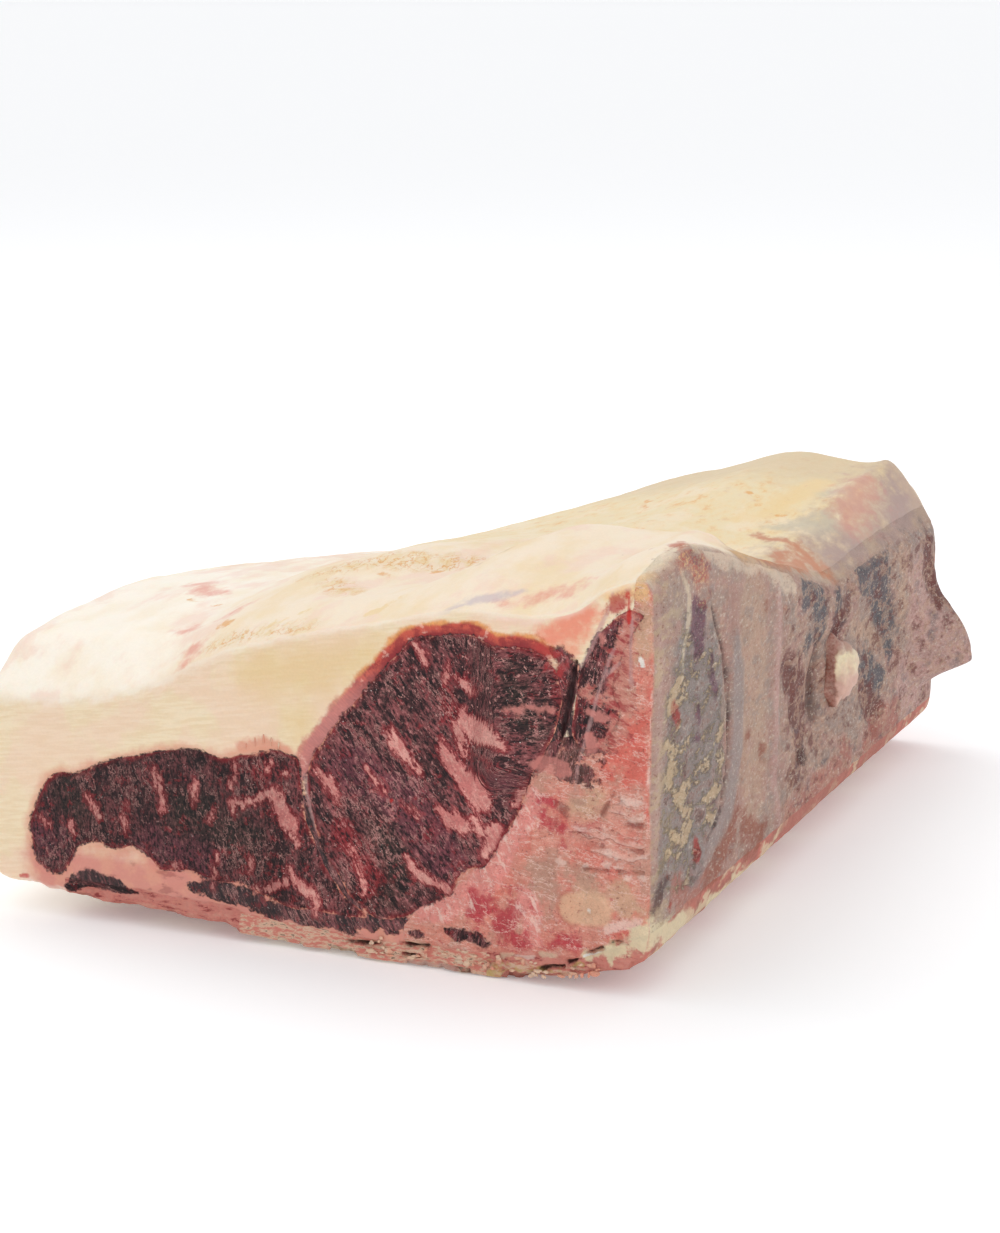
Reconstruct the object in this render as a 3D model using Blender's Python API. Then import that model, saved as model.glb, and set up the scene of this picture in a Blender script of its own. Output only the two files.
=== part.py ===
"""A raw bone-in sirloin joint, cut square at both ends and split down the backbone.

The joint lies on its rib side. +Z is up, +X points at the split backbone and +Y runs from the
front cut face to the back one, so every layer is a run of one cross-section along Y. The layers are
first cut as straight prisms out of one outer shape, with a small gap between neighbours, and the
whole set is then bent to the real joint's heights and widths by one function, which keeps the gaps.
Sizes are in centimetres in the named values below and metres in the meshes.
"""
import math

import bmesh
import bpy
from mathutils import Matrix, Vector

CM = 0.01
GAP = 0.06  # between neighbouring layers, before the bend narrows it in places
OVERSHOOT = 1.5  # how far a cutter reaches past what it cuts

LENGTH = 37.5
FRONT = -LENGTH / 2  # the cut face that shows the eye of the loin
BACK = LENGTH / 2
CHINE = 13.8  # the plane on which the backbone was split
FLANK = -13.9  # the thick fat edge away from the backbone
OUTLINE_STEP = 1.1  # between the points of a curved outline
CURVE_PARTS = 12  # points between two given ones, from which the even steps are taken
STATIONS = 15  # slices along the length

# Cross-section at the front cut, as (x, z), each run clockwise seen from the front.
OUTER_TOP = [(-12.5, 8.2), (-10.0, 8.4), (-6.4, 9.1), (-4.0, 10.3), (-0.9, 11.4), (3.0, 12.3),
             (6.3, 13.1), (8.9, 13.1), (10.7, 13.4), (12.0, 14.3), (13.4, 14.7)]
OUTER_CHINE = [(CHINE, 13.6), (CHINE, 10.0), (CHINE, 6.0), (CHINE, 2.5)]
OUTER_BOTTOM = [(13.2, 1.2), (11.9, 0.6), (10.4, 0.2), (8.2, 0.0), (2.4, 0.0), (-1.6, 0.0),
                (-5.8, 0.1), (-9.0, 0.4), (-12.2, 1.2)]
OUTER_FLANK = [(-13.4, 2.4), (FLANK, 4.2), (-13.8, 6.0), (-13.3, 7.4)]
EYE = [(0.8, 7.0), (1.4, 8.0), (2.8, 9.7), (3.9, 10.9), (5.0, 11.8), (6.5, 12.2), (7.9, 12.0),
       (9.4, 11.8), (10.2, 11.2), (10.3, 10.0), (10.1, 8.9), (9.5, 7.8), (9.0, 6.7), (8.5, 5.5),
       (7.7, 4.3), (6.8, 3.7), (6.3, 2.9), (5.4, 2.3), (4.5, 1.8), (3.4, 1.6), (2.3, 2.6),
       (1.4, 3.8), (0.8, 5.2)]
FLANK_MUSCLE = [(-0.6, 7.2), (-1.8, 7.1), (-2.7, 6.8), (-3.9, 6.9), (-5.3, 6.6), (-6.8, 6.3),
                (-8.2, 5.8), (-9.5, 5.5), (-10.4, 4.7), (-10.8, 3.4), (-10.6, 2.2), (-9.9, 1.6),
                (-9.2, 1.9), (-8.7, 2.7), (-7.4, 2.7), (-6.4, 2.8), (-5.5, 2.2), (-4.2, 2.1),
                (-2.6, 2.0), (-1.0, 1.7), (1.0, 1.5), (2.7, 1.7), (1.9, 2.7), (1.0, 3.9),
                (0.4, 5.2), (0.3, 6.6)]
BACK_MUSCLE = [(12.8, 13.6), (12.1, 13.0), (11.4, 12.1), (11.0, 11.2), (10.9, 10.2), (11.0, 9.3),
               (11.6, 8.9), (12.2, 9.3), (12.5, 10.2), (12.4, 11.2), (12.6, 12.2), (13.0, 13.1)]
# The bones' side of the section. It runs inside the muscles, which are then cut out of it.
CHINE_REGION = [(12.9, 16.5), (13.0, 13.8), (12.4, 12.6), (11.9, 11.5), (11.9, 10.3), (11.4, 9.2),
                (10.4, 9.0), (9.4, 8.4), (8.8, 6.8), (8.1, 5.5), (7.2, 4.4), (6.2, 3.6),
                (5.8, 2.6), (4.9, 2.0), (4.4, 1.4), (4.5, -1.5), (16.5, -1.5), (16.5, 16.5)]
# The dry sheet over the ribs, under everything else.
RIB_REGION = [(-9.6, -1.5), (-9.4, 1.25), (-7.9, 1.15), (-5.8, 1.0), (-3.7, 0.9), (-1.2, 0.8),
              (1.6, 0.7), (4.5, 0.7), (6.3, 0.8), (8.9, 0.9), (10.8, 1.0), (11.9, 1.4),
              (12.8, 2.1), (16.5, 4.2), (16.5, -1.5)]

# The split vertebrae, seen from the backbone's side.
VERTEBRAE = 7
VERTEBRA_PITCH = 6.9
VERTEBRA_WIDTH = 5.7
SECOND_VERTEBRA = -13.25  # middle of the first whole one, above its sweep
BLADE_TOP = 13.4
SWEEP_START = 6.6  # below this height each bone sweeps towards the front cut
SWEEP = 5.4
SWEEP_CORNER = 0.5  # height where the sweep is whole
BONE_STEPS = 16  # along each side of a bone's outline
SLANT_ALLOWANCE = 2.2  # widens the gap round a bone, because its sides slant and its top is bent most

# The split face's own relief. A hollow is its depth, then its middle (y, z) and its reach along both.
SIDE_HOLLOWS = [(0.45, (0.4, 6.4, 1.9, 2.6)), (0.4, (8.8, 7.2, 2.6, 2.2))]
FLAP_REACH = 2.0
FLAP_LENGTH = 4.5
FLAP_LOW = 4.2
FLAP_RISE = 1.2  # how far under its low edge it starts to stand out
FLAP_HIGH = 8.4
SIDE_DEPTH = 1.3  # how deep under the split face the relief still shifts the layers
KNOB_PLACE = (3.1, 6.9)  # (y, z) of the broken joint facet that stands proud of the split face
KNOB_SIZE = (0.85, 1.15, 1.7)

# The finger bones, seen from below.
FINGERS = 5
FIRST_FINGER = FRONT + 1.0
FINGER_WIDTH = 2.5
FINGER_TIP = -2.2
FINGER_ROOT = 7.6
FINGER_SLANT = 1.3  # how much nearer the front cut the tip is than the root
TIP_POINTS = 7

# The joint's real heights over the section's places, at these shares of the length.
PLACES = [FLANK, -9.0, -4.0, 3.0, 9.0, 11.0, 12.4, CHINE]
TOP_HEIGHTS = {
    0.00: [7.8, 8.5, 10.3, 12.3, 13.1, 13.5, 14.4, 14.8],
    0.09: [9.5, 10.3, 11.3, 12.9, 13.8, 14.3, 15.0, 15.3],
    0.27: [9.9, 10.8, 11.8, 13.4, 14.1, 14.2, 14.0, 13.7],
    0.45: [9.3, 10.4, 11.3, 12.5, 12.9, 12.8, 12.4, 11.8],
    0.60: [8.6, 9.7, 10.8, 12.0, 12.3, 12.0, 11.3, 10.4],
    0.80: [7.7, 8.7, 10.3, 12.2, 12.9, 12.7, 11.7, 10.5],
    1.00: [5.9, 7.7, 9.9, 12.2, 12.9, 12.9, 11.8, 10.2],
}
FRONT_TOP = TOP_HEIGHTS[0.00]
BOTTOM_FRONT = [1.6, 0.75, 0.45, 0.1, 0.05, 0.3, 0.7, 2.0]
BOTTOM_REST = [1.8, 0.35, 0.0, 0.0, 0.0, 0.25, 0.75, 2.0]
BOTTOM_SECTION = [1.9, 0.4, 0.02, 0.0, 0.0, 0.3, 0.75, 2.3]
FLAT_LEVEL = 0.012  # share of the height under which the underside is pressed flat, between these places
FLAT_FROM = -6.0
FLAT_TO = 9.5
BACK_WIDTH = 0.92  # of the front's, measured from the backbone

SHARP_ANGLE = math.radians(40)
COLOURS = {
    "fat": ((0.80, 0.67, 0.50), 0.45),
    "lean": ((0.16, 0.035, 0.04), 0.4),
    "bone": ((0.55, 0.33, 0.26), 0.6),
    "ligament": ((0.36, 0.28, 0.25), 0.6),
    "crust": ((0.42, 0.20, 0.15), 0.7),
}


def clear_scene():
    for obj in list(bpy.data.objects):
        bpy.data.objects.remove(obj)


def material(name):
    colour, roughness = COLOURS[name]
    made = bpy.data.materials.new(name)
    made.use_nodes = True
    shader = made.node_tree.nodes["Principled BSDF"]
    shader.inputs["Base Color"].default_value = (*colour, 1)
    shader.inputs["Roughness"].default_value = roughness
    return made


def cubic(knots, values, x):
    """A smooth curve through the values at the knots, level outside them."""
    if x <= knots[0]:
        return values[0]
    if x >= knots[-1]:
        return values[-1]
    i = max(k for k in range(len(knots) - 1) if knots[k] <= x)

    def slope(k):
        if k in (0, len(knots) - 1):
            return 0.0
        before = (values[k] - values[k - 1]) / (knots[k] - knots[k - 1])
        after = (values[k + 1] - values[k]) / (knots[k + 1] - knots[k])
        return 0.0 if before * after <= 0 else 2 * before * after / (before + after)

    span = knots[i + 1] - knots[i]
    t = (x - knots[i]) / span
    return (values[i] * (1 + 2 * t) * (1 - t) ** 2 + values[i + 1] * t * t * (3 - 2 * t)
            + span * (slope(i) * t * (1 - t) ** 2 - slope(i + 1) * t * t * (1 - t)))


def smooth_step(low, high, x):
    t = min(1.0, max(0.0, (x - low) / (high - low)))
    return t * t * (3 - 2 * t)


def bump(y, z, centre_y, centre_z, reach_y, reach_z):
    """1 at the centre, falling smoothly to nothing over the two reaches."""
    return math.exp(-((y - centre_y) / reach_y) ** 2 - ((z - centre_z) / reach_z) ** 2)


def smooth_loop(points, step=OUTLINE_STEP):
    """Points at an even step along a closed smooth curve through the given ones."""
    fine = []
    count = len(points)
    for i in range(count):
        p0, p1, p2, p3 = (Vector(points[(i + k) % count]) for k in (-1, 0, 1, 2))
        for j in range(CURVE_PARTS):
            t = j / CURVE_PARTS
            fine.append(0.5 * (2 * p1 + (p2 - p0) * t + (2 * p0 - 5 * p1 + 4 * p2 - p3) * t * t
                               + (3 * p1 - p0 - 3 * p2 + p3) * t ** 3))
    lengths = [(fine[(i + 1) % len(fine)] - fine[i]).length for i in range(len(fine))]
    whole = sum(lengths)
    wanted = round(whole / step)
    made, walked, i = [], 0.0, 0
    for k in range(wanted):
        target = whole * k / wanted
        while walked + lengths[i] < target:
            walked += lengths[i]
            i += 1
        share = (target - walked) / lengths[i]
        made.append(fine[i].lerp(fine[(i + 1) % len(fine)], share))
    return made


def area(loop):
    return sum(a.x * b.y - b.x * a.y for a, b in zip(loop, loop[1:] + loop[:1])) / 2


def grown(loop, by):
    """The loop pushed outwards by a distance."""
    sign = 1 if area(loop) > 0 else -1
    made = []
    for i, point in enumerate(loop):
        along = (loop[(i + 1) % len(loop)] - loop[i - 1]).normalized()
        made.append(point + Vector((along.y, -along.x)) * by * sign)
    return made


def prism(name, loop, axis, low, high):
    """A closed straight run of a loop along an axis. The loop's two numbers are the other two axes, in order."""
    mesh = bmesh.new()
    along = "XYZ".index(axis)
    vertices = []
    for point in loop:
        place = list(point)
        place.insert(along, low)
        vertices.append(mesh.verts.new(place))
    run = bmesh.ops.extrude_face_region(mesh, geom=[mesh.faces.new(vertices)])
    moved = [g for g in run["geom"] if isinstance(g, bmesh.types.BMVert)]
    direction = Vector((0, 0, 0))
    direction[along] = high - low
    bmesh.ops.translate(mesh, verts=moved, vec=direction)
    bmesh.ops.recalc_face_normals(mesh, faces=mesh.faces)
    return linked(name, mesh)


def linked(name, mesh):
    data = bpy.data.meshes.new(name)
    mesh.to_mesh(data)
    mesh.free()
    obj = bpy.data.objects.new(name, data)
    bpy.context.scene.collection.objects.link(obj)
    return obj


def carved(name, body, *steps):
    """A copy of a solid after Boolean steps, each an operation and its cutter."""
    obj = bpy.data.objects.new(name, body.data.copy())
    bpy.context.scene.collection.objects.link(obj)
    for operation, cutter in steps:
        modifier = obj.modifiers.new(operation, "BOOLEAN")
        modifier.operation = operation
        modifier.object = cutter
    graph = bpy.context.evaluated_depsgraph_get()
    obj.data = bpy.data.meshes.new_from_object(obj.evaluated_get(graph))
    obj.modifiers.clear()
    return obj


def section_run(name, points, gap=0.0):
    """A layer's run along the whole length. With a gap it is a cutter, which reaches past both ends."""
    loop = smooth_loop(points)
    past = OVERSHOOT if gap else 0.0
    return prism(name, grown(loop, gap), "Y", FRONT - past, BACK + past)


def region_run(name, points, gap=0.0):
    """A cutter with straight sides, for the regions that hold the bones."""
    loop = [Vector(p) for p in points]
    return prism(name, grown(loop, gap), "Y", FRONT - OVERSHOOT, BACK + OVERSHOOT)


def sweep(z):
    """How far towards the front cut a vertebra leans at this height."""
    return SWEEP * (1 - smooth_step(SWEEP_CORNER, SWEEP_START, z))


def vertebra_cutter(number, gap=0.0):
    """One bone's outline from the side, run through the whole width."""
    middle = SECOND_VERTEBRA + (number - 2) * VERTEBRA_PITCH
    half = VERTEBRA_WIDTH / 2 + gap * SLANT_ALLOWANCE
    heights = [-OVERSHOOT + i * (BLADE_TOP + OVERSHOOT) / BONE_STEPS for i in range(BONE_STEPS + 1)]
    heights[-1] += gap * SLANT_ALLOWANCE
    left = [(middle - half - sweep(z), z) for z in heights]
    right = [(middle + half - sweep(z), z) for z in reversed(heights)]
    return prism(f"cut_vertebra_{number}", [Vector(p) for p in left + right], "X", 0.0, CHINE + OVERSHOOT)


def finger_cutter(number, gap=0.0):
    """One finger bone's outline from below: a blade with a round tip that slants forward."""
    root = FIRST_FINGER + (number - 1) * VERTEBRA_PITCH
    half = FINGER_WIDTH / 2 + gap
    tip = root - FINGER_SLANT
    left = FINGER_TIP - gap
    loop = [(FINGER_ROOT + gap, root - half), (FINGER_ROOT + gap, root + half)]
    for i in range(TIP_POINTS):
        turn = math.pi * i / (TIP_POINTS - 1)
        loop.append((left + half * (1 - math.sin(turn)), tip + half * math.cos(turn)))
    return prism(f"cut_finger_{number}", [Vector(p) for p in loop], "Z", -OVERSHOOT, BLADE_TOP)


def side_relief(y, z):
    """How far the split face stands out from its plane: two hollows between bones and the torn flap at the back."""
    hollows = sum(depth * bump(y, z, *place) for depth, place in SIDE_HOLLOWS)
    flap_height = smooth_step(FLAP_LOW - FLAP_RISE, FLAP_LOW, z) * (1 - smooth_step(FLAP_LOW, FLAP_HIGH, z))
    return FLAP_REACH * smooth_step(BACK - FLAP_LENGTH, BACK, y) * flap_height - hollows


def top_height(x, share):
    stations = sorted(TOP_HEIGHTS)
    return cubic(stations, [cubic(PLACES, TOP_HEIGHTS[s], x) for s in stations], share)


def bottom_height(x, share):
    front = cubic(PLACES, BOTTOM_FRONT, x)
    rest = cubic(PLACES, BOTTOM_REST, x)
    return front + (rest - front) * smooth_step(0.0, 0.12, share)


def bent(point):
    """Where a point of the straight section run lies in the real joint."""
    x, y, z = point
    share = (y - FRONT) / LENGTH
    floor = cubic(PLACES, BOTTOM_SECTION, x)
    level = (z - floor) / (cubic(PLACES, FRONT_TOP, x) - floor)
    if level < FLAT_LEVEL and FLAT_FROM < x < FLAT_TO:
        level = 0.0
    low = bottom_height(x, share)
    height = low + level * (top_height(x, share) - low)
    width = 1 + (BACK_WIDTH - 1) * smooth_step(0.5, 1.0, share)
    across = CHINE - (CHINE - x) * width
    across += side_relief(y, height) * smooth_step(CHINE - SIDE_DEPTH, CHINE, x)
    return Vector((across, y, height)) * CM


def facet_knob():
    """The lump of joint surface on the split face: the half of a ball that stands clear of it."""
    mesh = bmesh.new()
    bmesh.ops.create_icosphere(mesh, subdivisions=3, radius=1)
    everything = mesh.verts[:] + mesh.edges[:] + mesh.faces[:]
    bmesh.ops.bisect_plane(mesh, geom=everything, plane_co=(0, 0, 0), plane_no=(1, 0, 0), clear_inner=True)
    bmesh.ops.edgeloop_fill(mesh, edges=[edge for edge in mesh.edges if edge.is_boundary])
    bmesh.ops.recalc_face_normals(mesh, faces=mesh.faces)
    bmesh.ops.scale(mesh, verts=mesh.verts, vec=KNOB_SIZE)
    bmesh.ops.translate(mesh, verts=mesh.verts, vec=(CHINE + GAP, *KNOB_PLACE))
    bmesh.ops.scale(mesh, verts=mesh.verts, vec=(CM, CM, CM))
    return linked("facet_knob", mesh)


def coloured(obj, colour):
    obj.data.materials.clear()
    obj.data.materials.append(colour)
    obj.data.shade_smooth()
    obj.data.set_sharp_from_angle(angle=SHARP_ANGLE)


def finish(obj, colour):
    """Slices a straight layer along the length, bends it to the real shape and gives it its colour."""
    mesh = bmesh.new()
    mesh.from_mesh(obj.data)
    for i in range(1, STATIONS):
        place = Vector((0, FRONT + LENGTH * i / STATIONS, 0))
        everything = mesh.verts[:] + mesh.edges[:] + mesh.faces[:]
        bmesh.ops.bisect_plane(mesh, geom=everything, plane_co=place, plane_no=(0, 1, 0), dist=1e-5)
    bmesh.ops.triangulate(mesh, faces=mesh.faces)
    for vertex in mesh.verts:
        vertex.co = bent(vertex.co)
    mesh.to_mesh(obj.data)
    mesh.free()
    coloured(obj, colour)


def centre(objects):
    """Puts the origin under the middle of the whole joint, on the surface it lies on."""
    corners = [vertex.co for obj in objects for vertex in obj.data.vertices]
    low, high = (Vector([pick(c[axis] for c in corners) for axis in range(3)]) for pick in (min, max))
    shift = Vector((-(low.x + high.x) / 2, -(low.y + high.y) / 2, -low.z))
    for obj in objects:
        obj.data.transform(Matrix.Translation(shift))


def build():
    clear_scene()
    fat, lean, bone, ligament, crust = (material(n) for n in ("fat", "lean", "bone", "ligament", "crust"))
    outer = section_run("outer", OUTER_TOP + OUTER_CHINE + OUTER_BOTTOM + OUTER_FLANK)
    eye = section_run("eye_muscle", EYE)
    flank = section_run("flank_muscle", FLANK_MUSCLE)
    back = section_run("back_muscle", BACK_MUSCLE)
    eye_room = section_run("eye_room", EYE, GAP)
    flank_room = section_run("flank_room", FLANK_MUSCLE, GAP)
    back_room = section_run("back_room", BACK_MUSCLE, GAP)
    chine_cut = region_run("chine_cut", CHINE_REGION)
    chine_room = region_run("chine_room", CHINE_REGION, GAP)
    rib_cut = region_run("rib_cut", RIB_REGION)
    rib_room = region_run("rib_room", RIB_REGION, GAP)

    chine = carved("chine", outer, ("INTERSECT", chine_cut), ("DIFFERENCE", rib_room),
                   ("DIFFERENCE", eye_room), ("DIFFERENCE", back_room))
    ribs = carved("ribs", outer, ("INTERSECT", rib_cut))
    helpers = [outer, eye_room, flank_room, back_room, chine_cut, chine_room, rib_cut, rib_room, chine, ribs]

    vertebrae, vertebra_rooms = [], []
    for number in range(1, VERTEBRAE + 1):
        cutter = vertebra_cutter(number)
        vertebra_rooms.append(vertebra_cutter(number, GAP))
        vertebrae.append(carved(f"vertebra_{number}", chine, ("INTERSECT", cutter)))
        helpers += [cutter, vertebra_rooms[-1]]
    fingers, finger_rooms = [], []
    for number in range(1, FINGERS + 1):
        cutter = finger_cutter(number)
        finger_rooms.append(finger_cutter(number, GAP))
        fingers.append(carved(f"finger_bone_{number}", ribs, ("INTERSECT", cutter)))
        helpers += [cutter, finger_rooms[-1]]

    spine_ligament = carved("spine_ligament", chine, *(("DIFFERENCE", room) for room in vertebra_rooms))
    underside = carved("underside", ribs, *(("DIFFERENCE", room) for room in finger_rooms))
    fat_cover = carved("fat_cover", outer, ("DIFFERENCE", chine_room), ("DIFFERENCE", rib_room),
                       ("DIFFERENCE", eye_room), ("DIFFERENCE", flank_room), ("DIFFERENCE", back_room))
    for helper in helpers:
        bpy.data.objects.remove(helper)

    finish(fat_cover, fat)
    for muscle in (eye, flank, back):
        finish(muscle, lean)
    for piece in vertebrae + fingers:
        finish(piece, bone)
    finish(spine_ligament, ligament)
    finish(underside, crust)
    coloured(facet_knob(), bone)
    centre(list(bpy.data.objects))


build()
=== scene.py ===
"""The looks of a raw, dry-aged sirloin joint on the bone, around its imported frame.

Every layer is cut straight out of one outer shape, roughened on the faces that show, and bent to the
joint's real heights and widths. Sizes and places are centimetres on the joint: x across it from the
thick fat edge to the split backbone, y from the front cut to the back one, z up. Meshes are in metres.
"""
import math

import bmesh
import bpy
import numpy as np
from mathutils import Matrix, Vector


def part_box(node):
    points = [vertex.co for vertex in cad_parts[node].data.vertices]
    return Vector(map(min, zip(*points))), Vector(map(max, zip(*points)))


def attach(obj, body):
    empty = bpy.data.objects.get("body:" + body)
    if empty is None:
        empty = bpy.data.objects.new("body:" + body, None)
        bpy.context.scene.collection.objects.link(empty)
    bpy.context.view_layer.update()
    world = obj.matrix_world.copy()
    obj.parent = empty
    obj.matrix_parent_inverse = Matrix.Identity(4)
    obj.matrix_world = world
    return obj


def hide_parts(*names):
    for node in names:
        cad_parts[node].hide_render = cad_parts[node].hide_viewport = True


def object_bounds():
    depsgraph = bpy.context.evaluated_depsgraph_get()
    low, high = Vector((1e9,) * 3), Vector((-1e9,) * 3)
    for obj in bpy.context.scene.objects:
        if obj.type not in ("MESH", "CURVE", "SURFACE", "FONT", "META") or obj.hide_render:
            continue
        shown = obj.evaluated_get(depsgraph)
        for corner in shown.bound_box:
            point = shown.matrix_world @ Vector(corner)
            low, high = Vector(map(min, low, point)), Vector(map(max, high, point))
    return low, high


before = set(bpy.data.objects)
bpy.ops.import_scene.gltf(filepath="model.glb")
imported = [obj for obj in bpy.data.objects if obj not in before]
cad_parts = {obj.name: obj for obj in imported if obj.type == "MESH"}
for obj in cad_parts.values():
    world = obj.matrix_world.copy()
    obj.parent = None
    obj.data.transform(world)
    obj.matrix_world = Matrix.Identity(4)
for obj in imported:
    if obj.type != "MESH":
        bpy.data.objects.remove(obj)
CAD_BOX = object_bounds()

bl_info = {
    "name": "Raw sirloin joint",
    "version": (1, 0, 0),
    "blender": (4, 5, 0),
    "location": "View3D > Sidebar > Sirloin",
    "description": "Builds a dry-aged sirloin joint on the bone, layer by layer",
    "category": "Object",
}

CM = 0.01
LENGTH = 37.5
FRONT = -LENGTH / 2
BACK = LENGTH / 2
CHINE = 13.8
FLANK = -13.9
KNOB_GAP = 0.06
SECTION_TO_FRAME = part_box("facet_knob")[0].x - (CHINE + KNOB_GAP) * CM  # metres along X

# ---------------------------------------------------------------- outlines of the straight section
OUTER_TOP = [(-12.5, 8.2), (-10.0, 8.4), (-6.4, 9.1), (-4.0, 10.3), (-0.9, 11.4), (3.0, 12.3), (6.3, 13.1),
    (8.9, 13.1), (10.7, 13.4), (12.0, 14.3), (13.4, 14.7)]
OUTER_CHINE = [(CHINE, 13.6), (CHINE, 10.0), (CHINE, 6.0), (CHINE, 2.5)]
OUTER_BOTTOM = [(13.2, 1.2), (11.9, 0.6), (10.4, 0.2), (8.2, 0.0), (2.4, 0.0), (-1.6, 0.0), (-5.8, 0.1),
    (-9.0, 0.4), (-12.2, 1.2)]
OUTER_FLANK = [(-13.4, 2.4), (FLANK, 4.2), (-13.8, 6.0), (-13.3, 7.4)]
OUTER = OUTER_TOP + OUTER_CHINE + OUTER_BOTTOM + OUTER_FLANK
EYE = [(0.8, 7.0), (1.4, 8.0), (2.1, 8.8), (2.8, 9.7), (3.5, 10.4), (4.3, 11.3), (5.0, 11.9), (6.1, 12.1),
    (7.0, 12.3), (7.9, 12.0), (8.7, 11.9), (9.6, 11.8), (10.2, 11.2), (10.3, 10.0), (10.1, 8.9), (9.5, 7.9),
    (9.0, 6.7), (8.6, 5.7), (8.0, 4.8), (7.5, 4.0), (6.7, 3.7), (6.4, 3.0), (5.7, 2.5), (4.9, 2.1),
    (4.3, 1.7), (3.4, 1.6), (2.5, 2.2), (1.7, 3.2), (1.1, 4.3), (0.8, 5.4), (0.7, 6.3)]
FLANK_MUSCLE = [(0.3, 7.1), (-0.5, 7.25), (-1.1, 7.2), (-1.8, 7.0), (-2.5, 6.7), (-3.3, 6.85), (-4.1, 6.9),
    (-5.0, 6.7), (-6.0, 6.5), (-6.8, 6.3), (-7.6, 6.0), (-8.3, 5.7), (-9.0, 5.5), (-9.6, 5.5), (-10.1, 5.0),
    (-10.5, 4.4), (-10.8, 3.7), (-10.8, 2.9), (-10.6, 2.1), (-10.1, 1.5), (-9.6, 1.5), (-9.2, 1.9),
    (-8.9, 2.6), (-8.1, 2.8), (-7.2, 2.6), (-6.5, 2.85), (-6.0, 2.6), (-5.4, 2.0), (-4.6, 2.1), (-3.7, 2.0),
    (-2.9, 1.9), (-2.1, 2.0), (-1.3, 1.7), (-0.3, 1.5), (0.9, 1.4), (2.4, 1.5), (3.0, 1.6), (2.2, 2.2),
    (1.4, 3.2), (0.8, 4.3), (0.5, 5.4), (0.4, 6.4)]
BACK_MUSCLE = [(12.8, 13.7), (12.2, 13.2), (11.6, 12.5), (11.2, 11.6), (11.0, 10.9), (10.9, 10.0),
    (10.8, 9.3), (11.2, 8.8), (11.8, 8.9), (12.2, 9.4), (12.5, 10.1), (12.2, 10.9), (12.4, 11.6),
    (12.7, 12.4), (13.1, 13.1), (13.3, 13.5)]
CHINE_REGION = [(12.9, 16.5), (13.0, 13.8), (12.4, 12.6), (11.9, 11.5), (11.9, 10.3), (11.4, 9.2),
    (10.4, 9.0), (9.4, 8.4), (8.8, 6.8), (8.1, 5.5), (7.2, 4.4), (6.2, 3.6), (5.8, 2.6), (4.9, 2.0),
    (4.4, 1.4), (4.5, -1.5), (16.5, -1.5), (16.5, 16.5)]
RIB_REGION = [(-9.6, -1.5), (-9.4, 1.25), (-7.9, 1.15), (-5.8, 1.0), (-3.7, 0.9), (-1.2, 0.8), (1.6, 0.7),
    (4.5, 0.7), (6.3, 0.8), (8.9, 0.9), (10.8, 1.0), (11.9, 1.4), (12.8, 2.1), (16.5, 4.2), (16.5, -1.5)]

# ---------------------------------------------------------------- the joint's real heights
PLACES = [FLANK, -9.0, -4.0, 3.0, 9.0, 11.0, 12.4, CHINE]
TOP_HEIGHTS = {
    0.00: [7.8, 8.5, 10.3, 12.3, 13.1, 13.5, 14.4, 14.8],
    0.09: [9.5, 10.3, 11.3, 12.9, 13.8, 14.3, 15.0, 15.3],
    0.27: [9.9, 10.8, 11.8, 13.4, 14.1, 14.2, 14.0, 13.7],
    0.45: [9.3, 10.4, 11.3, 12.5, 12.9, 12.8, 12.4, 11.8],
    0.60: [8.6, 9.7, 10.8, 12.0, 12.3, 12.0, 11.3, 10.4],
    0.80: [7.7, 8.7, 10.3, 12.2, 12.9, 12.7, 11.7, 10.5],
    1.00: [5.9, 7.7, 9.9, 12.2, 12.9, 12.9, 11.8, 10.2],
}
BOTTOM_FRONT = [1.6, 0.75, 0.45, 0.1, 0.05, 0.3, 0.7, 2.0]
BOTTOM_REST = [1.8, 0.35, 0.0, 0.0, 0.0, 0.25, 0.75, 2.0]
BOTTOM_SECTION = [1.9, 0.4, 0.02, 0.0, 0.0, 0.3, 0.75, 2.3]
FLAT_LEVEL = 0.012  # share of the height under which the underside is pressed flat
FLAT_FROM = -6.0
FLAT_TO = 9.5
BACK_WIDTH = 0.92
SIDE_HOLLOWS = [(0.45, (0.4, 6.4, 1.9, 2.6)), (0.4, (8.8, 7.2, 2.6, 2.2))]
FLAP_REACH = 2.0
FLAP_LENGTH = 4.5
FLAP_LOW = 4.2
FLAP_RISE = 1.2
FLAP_HIGH = 8.4
SIDE_DEPTH = 1.3
# The near fold of fat over the first bones, seen from above. Its far edge ends in a step.
NEAR_FOLD = [(4.0, -24.0), (4.2, -16.4), (5.3, -13.2), (6.1, -10.7), (6.9, -8.5), (7.8, -6.6), (8.9, -5.2),
    (10.6, -5.4), (12.3, -7.6), (13.8, -9.6), (24.0, -12.0), (24.0, -24.0)]

# ---------------------------------------------------------------- bones
VERTEBRAE = 7
VERTEBRA_PITCH = 6.9
VERTEBRA_WIDTH = 5.7
SECOND_VERTEBRA = -13.25
BONE_WANDER = 0.12  # how far a vertebra's border strays from its smooth outline
BLADE_TOP = 13.4
SWEEP_START = 6.6
SWEEP = 5.4
SWEEP_CORNER = 0.5
FINGERS = 5
FIRST_FINGER = FRONT + 1.0
FINGER_WIDTH = 2.5
FINGER_TIP = -2.2
FINGER_ROOT = 7.6
FINGER_SLANT = 1.3
FINGER_TOP = 2.5
KNOB_PLACE = (3.1, 6.9)
KNOB_SINK = (-0.3, -0.05)  # from the split face to the knob's middle, across and up
KNOB_RADII = (0.85, 1.0, 1.45)
KNOB_LUMPS = (0.28, 0.9)  # how rough the knob is, and the size of its bumps
KNOB_SEED = 31
KNOB_FINENESS = 5

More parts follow.
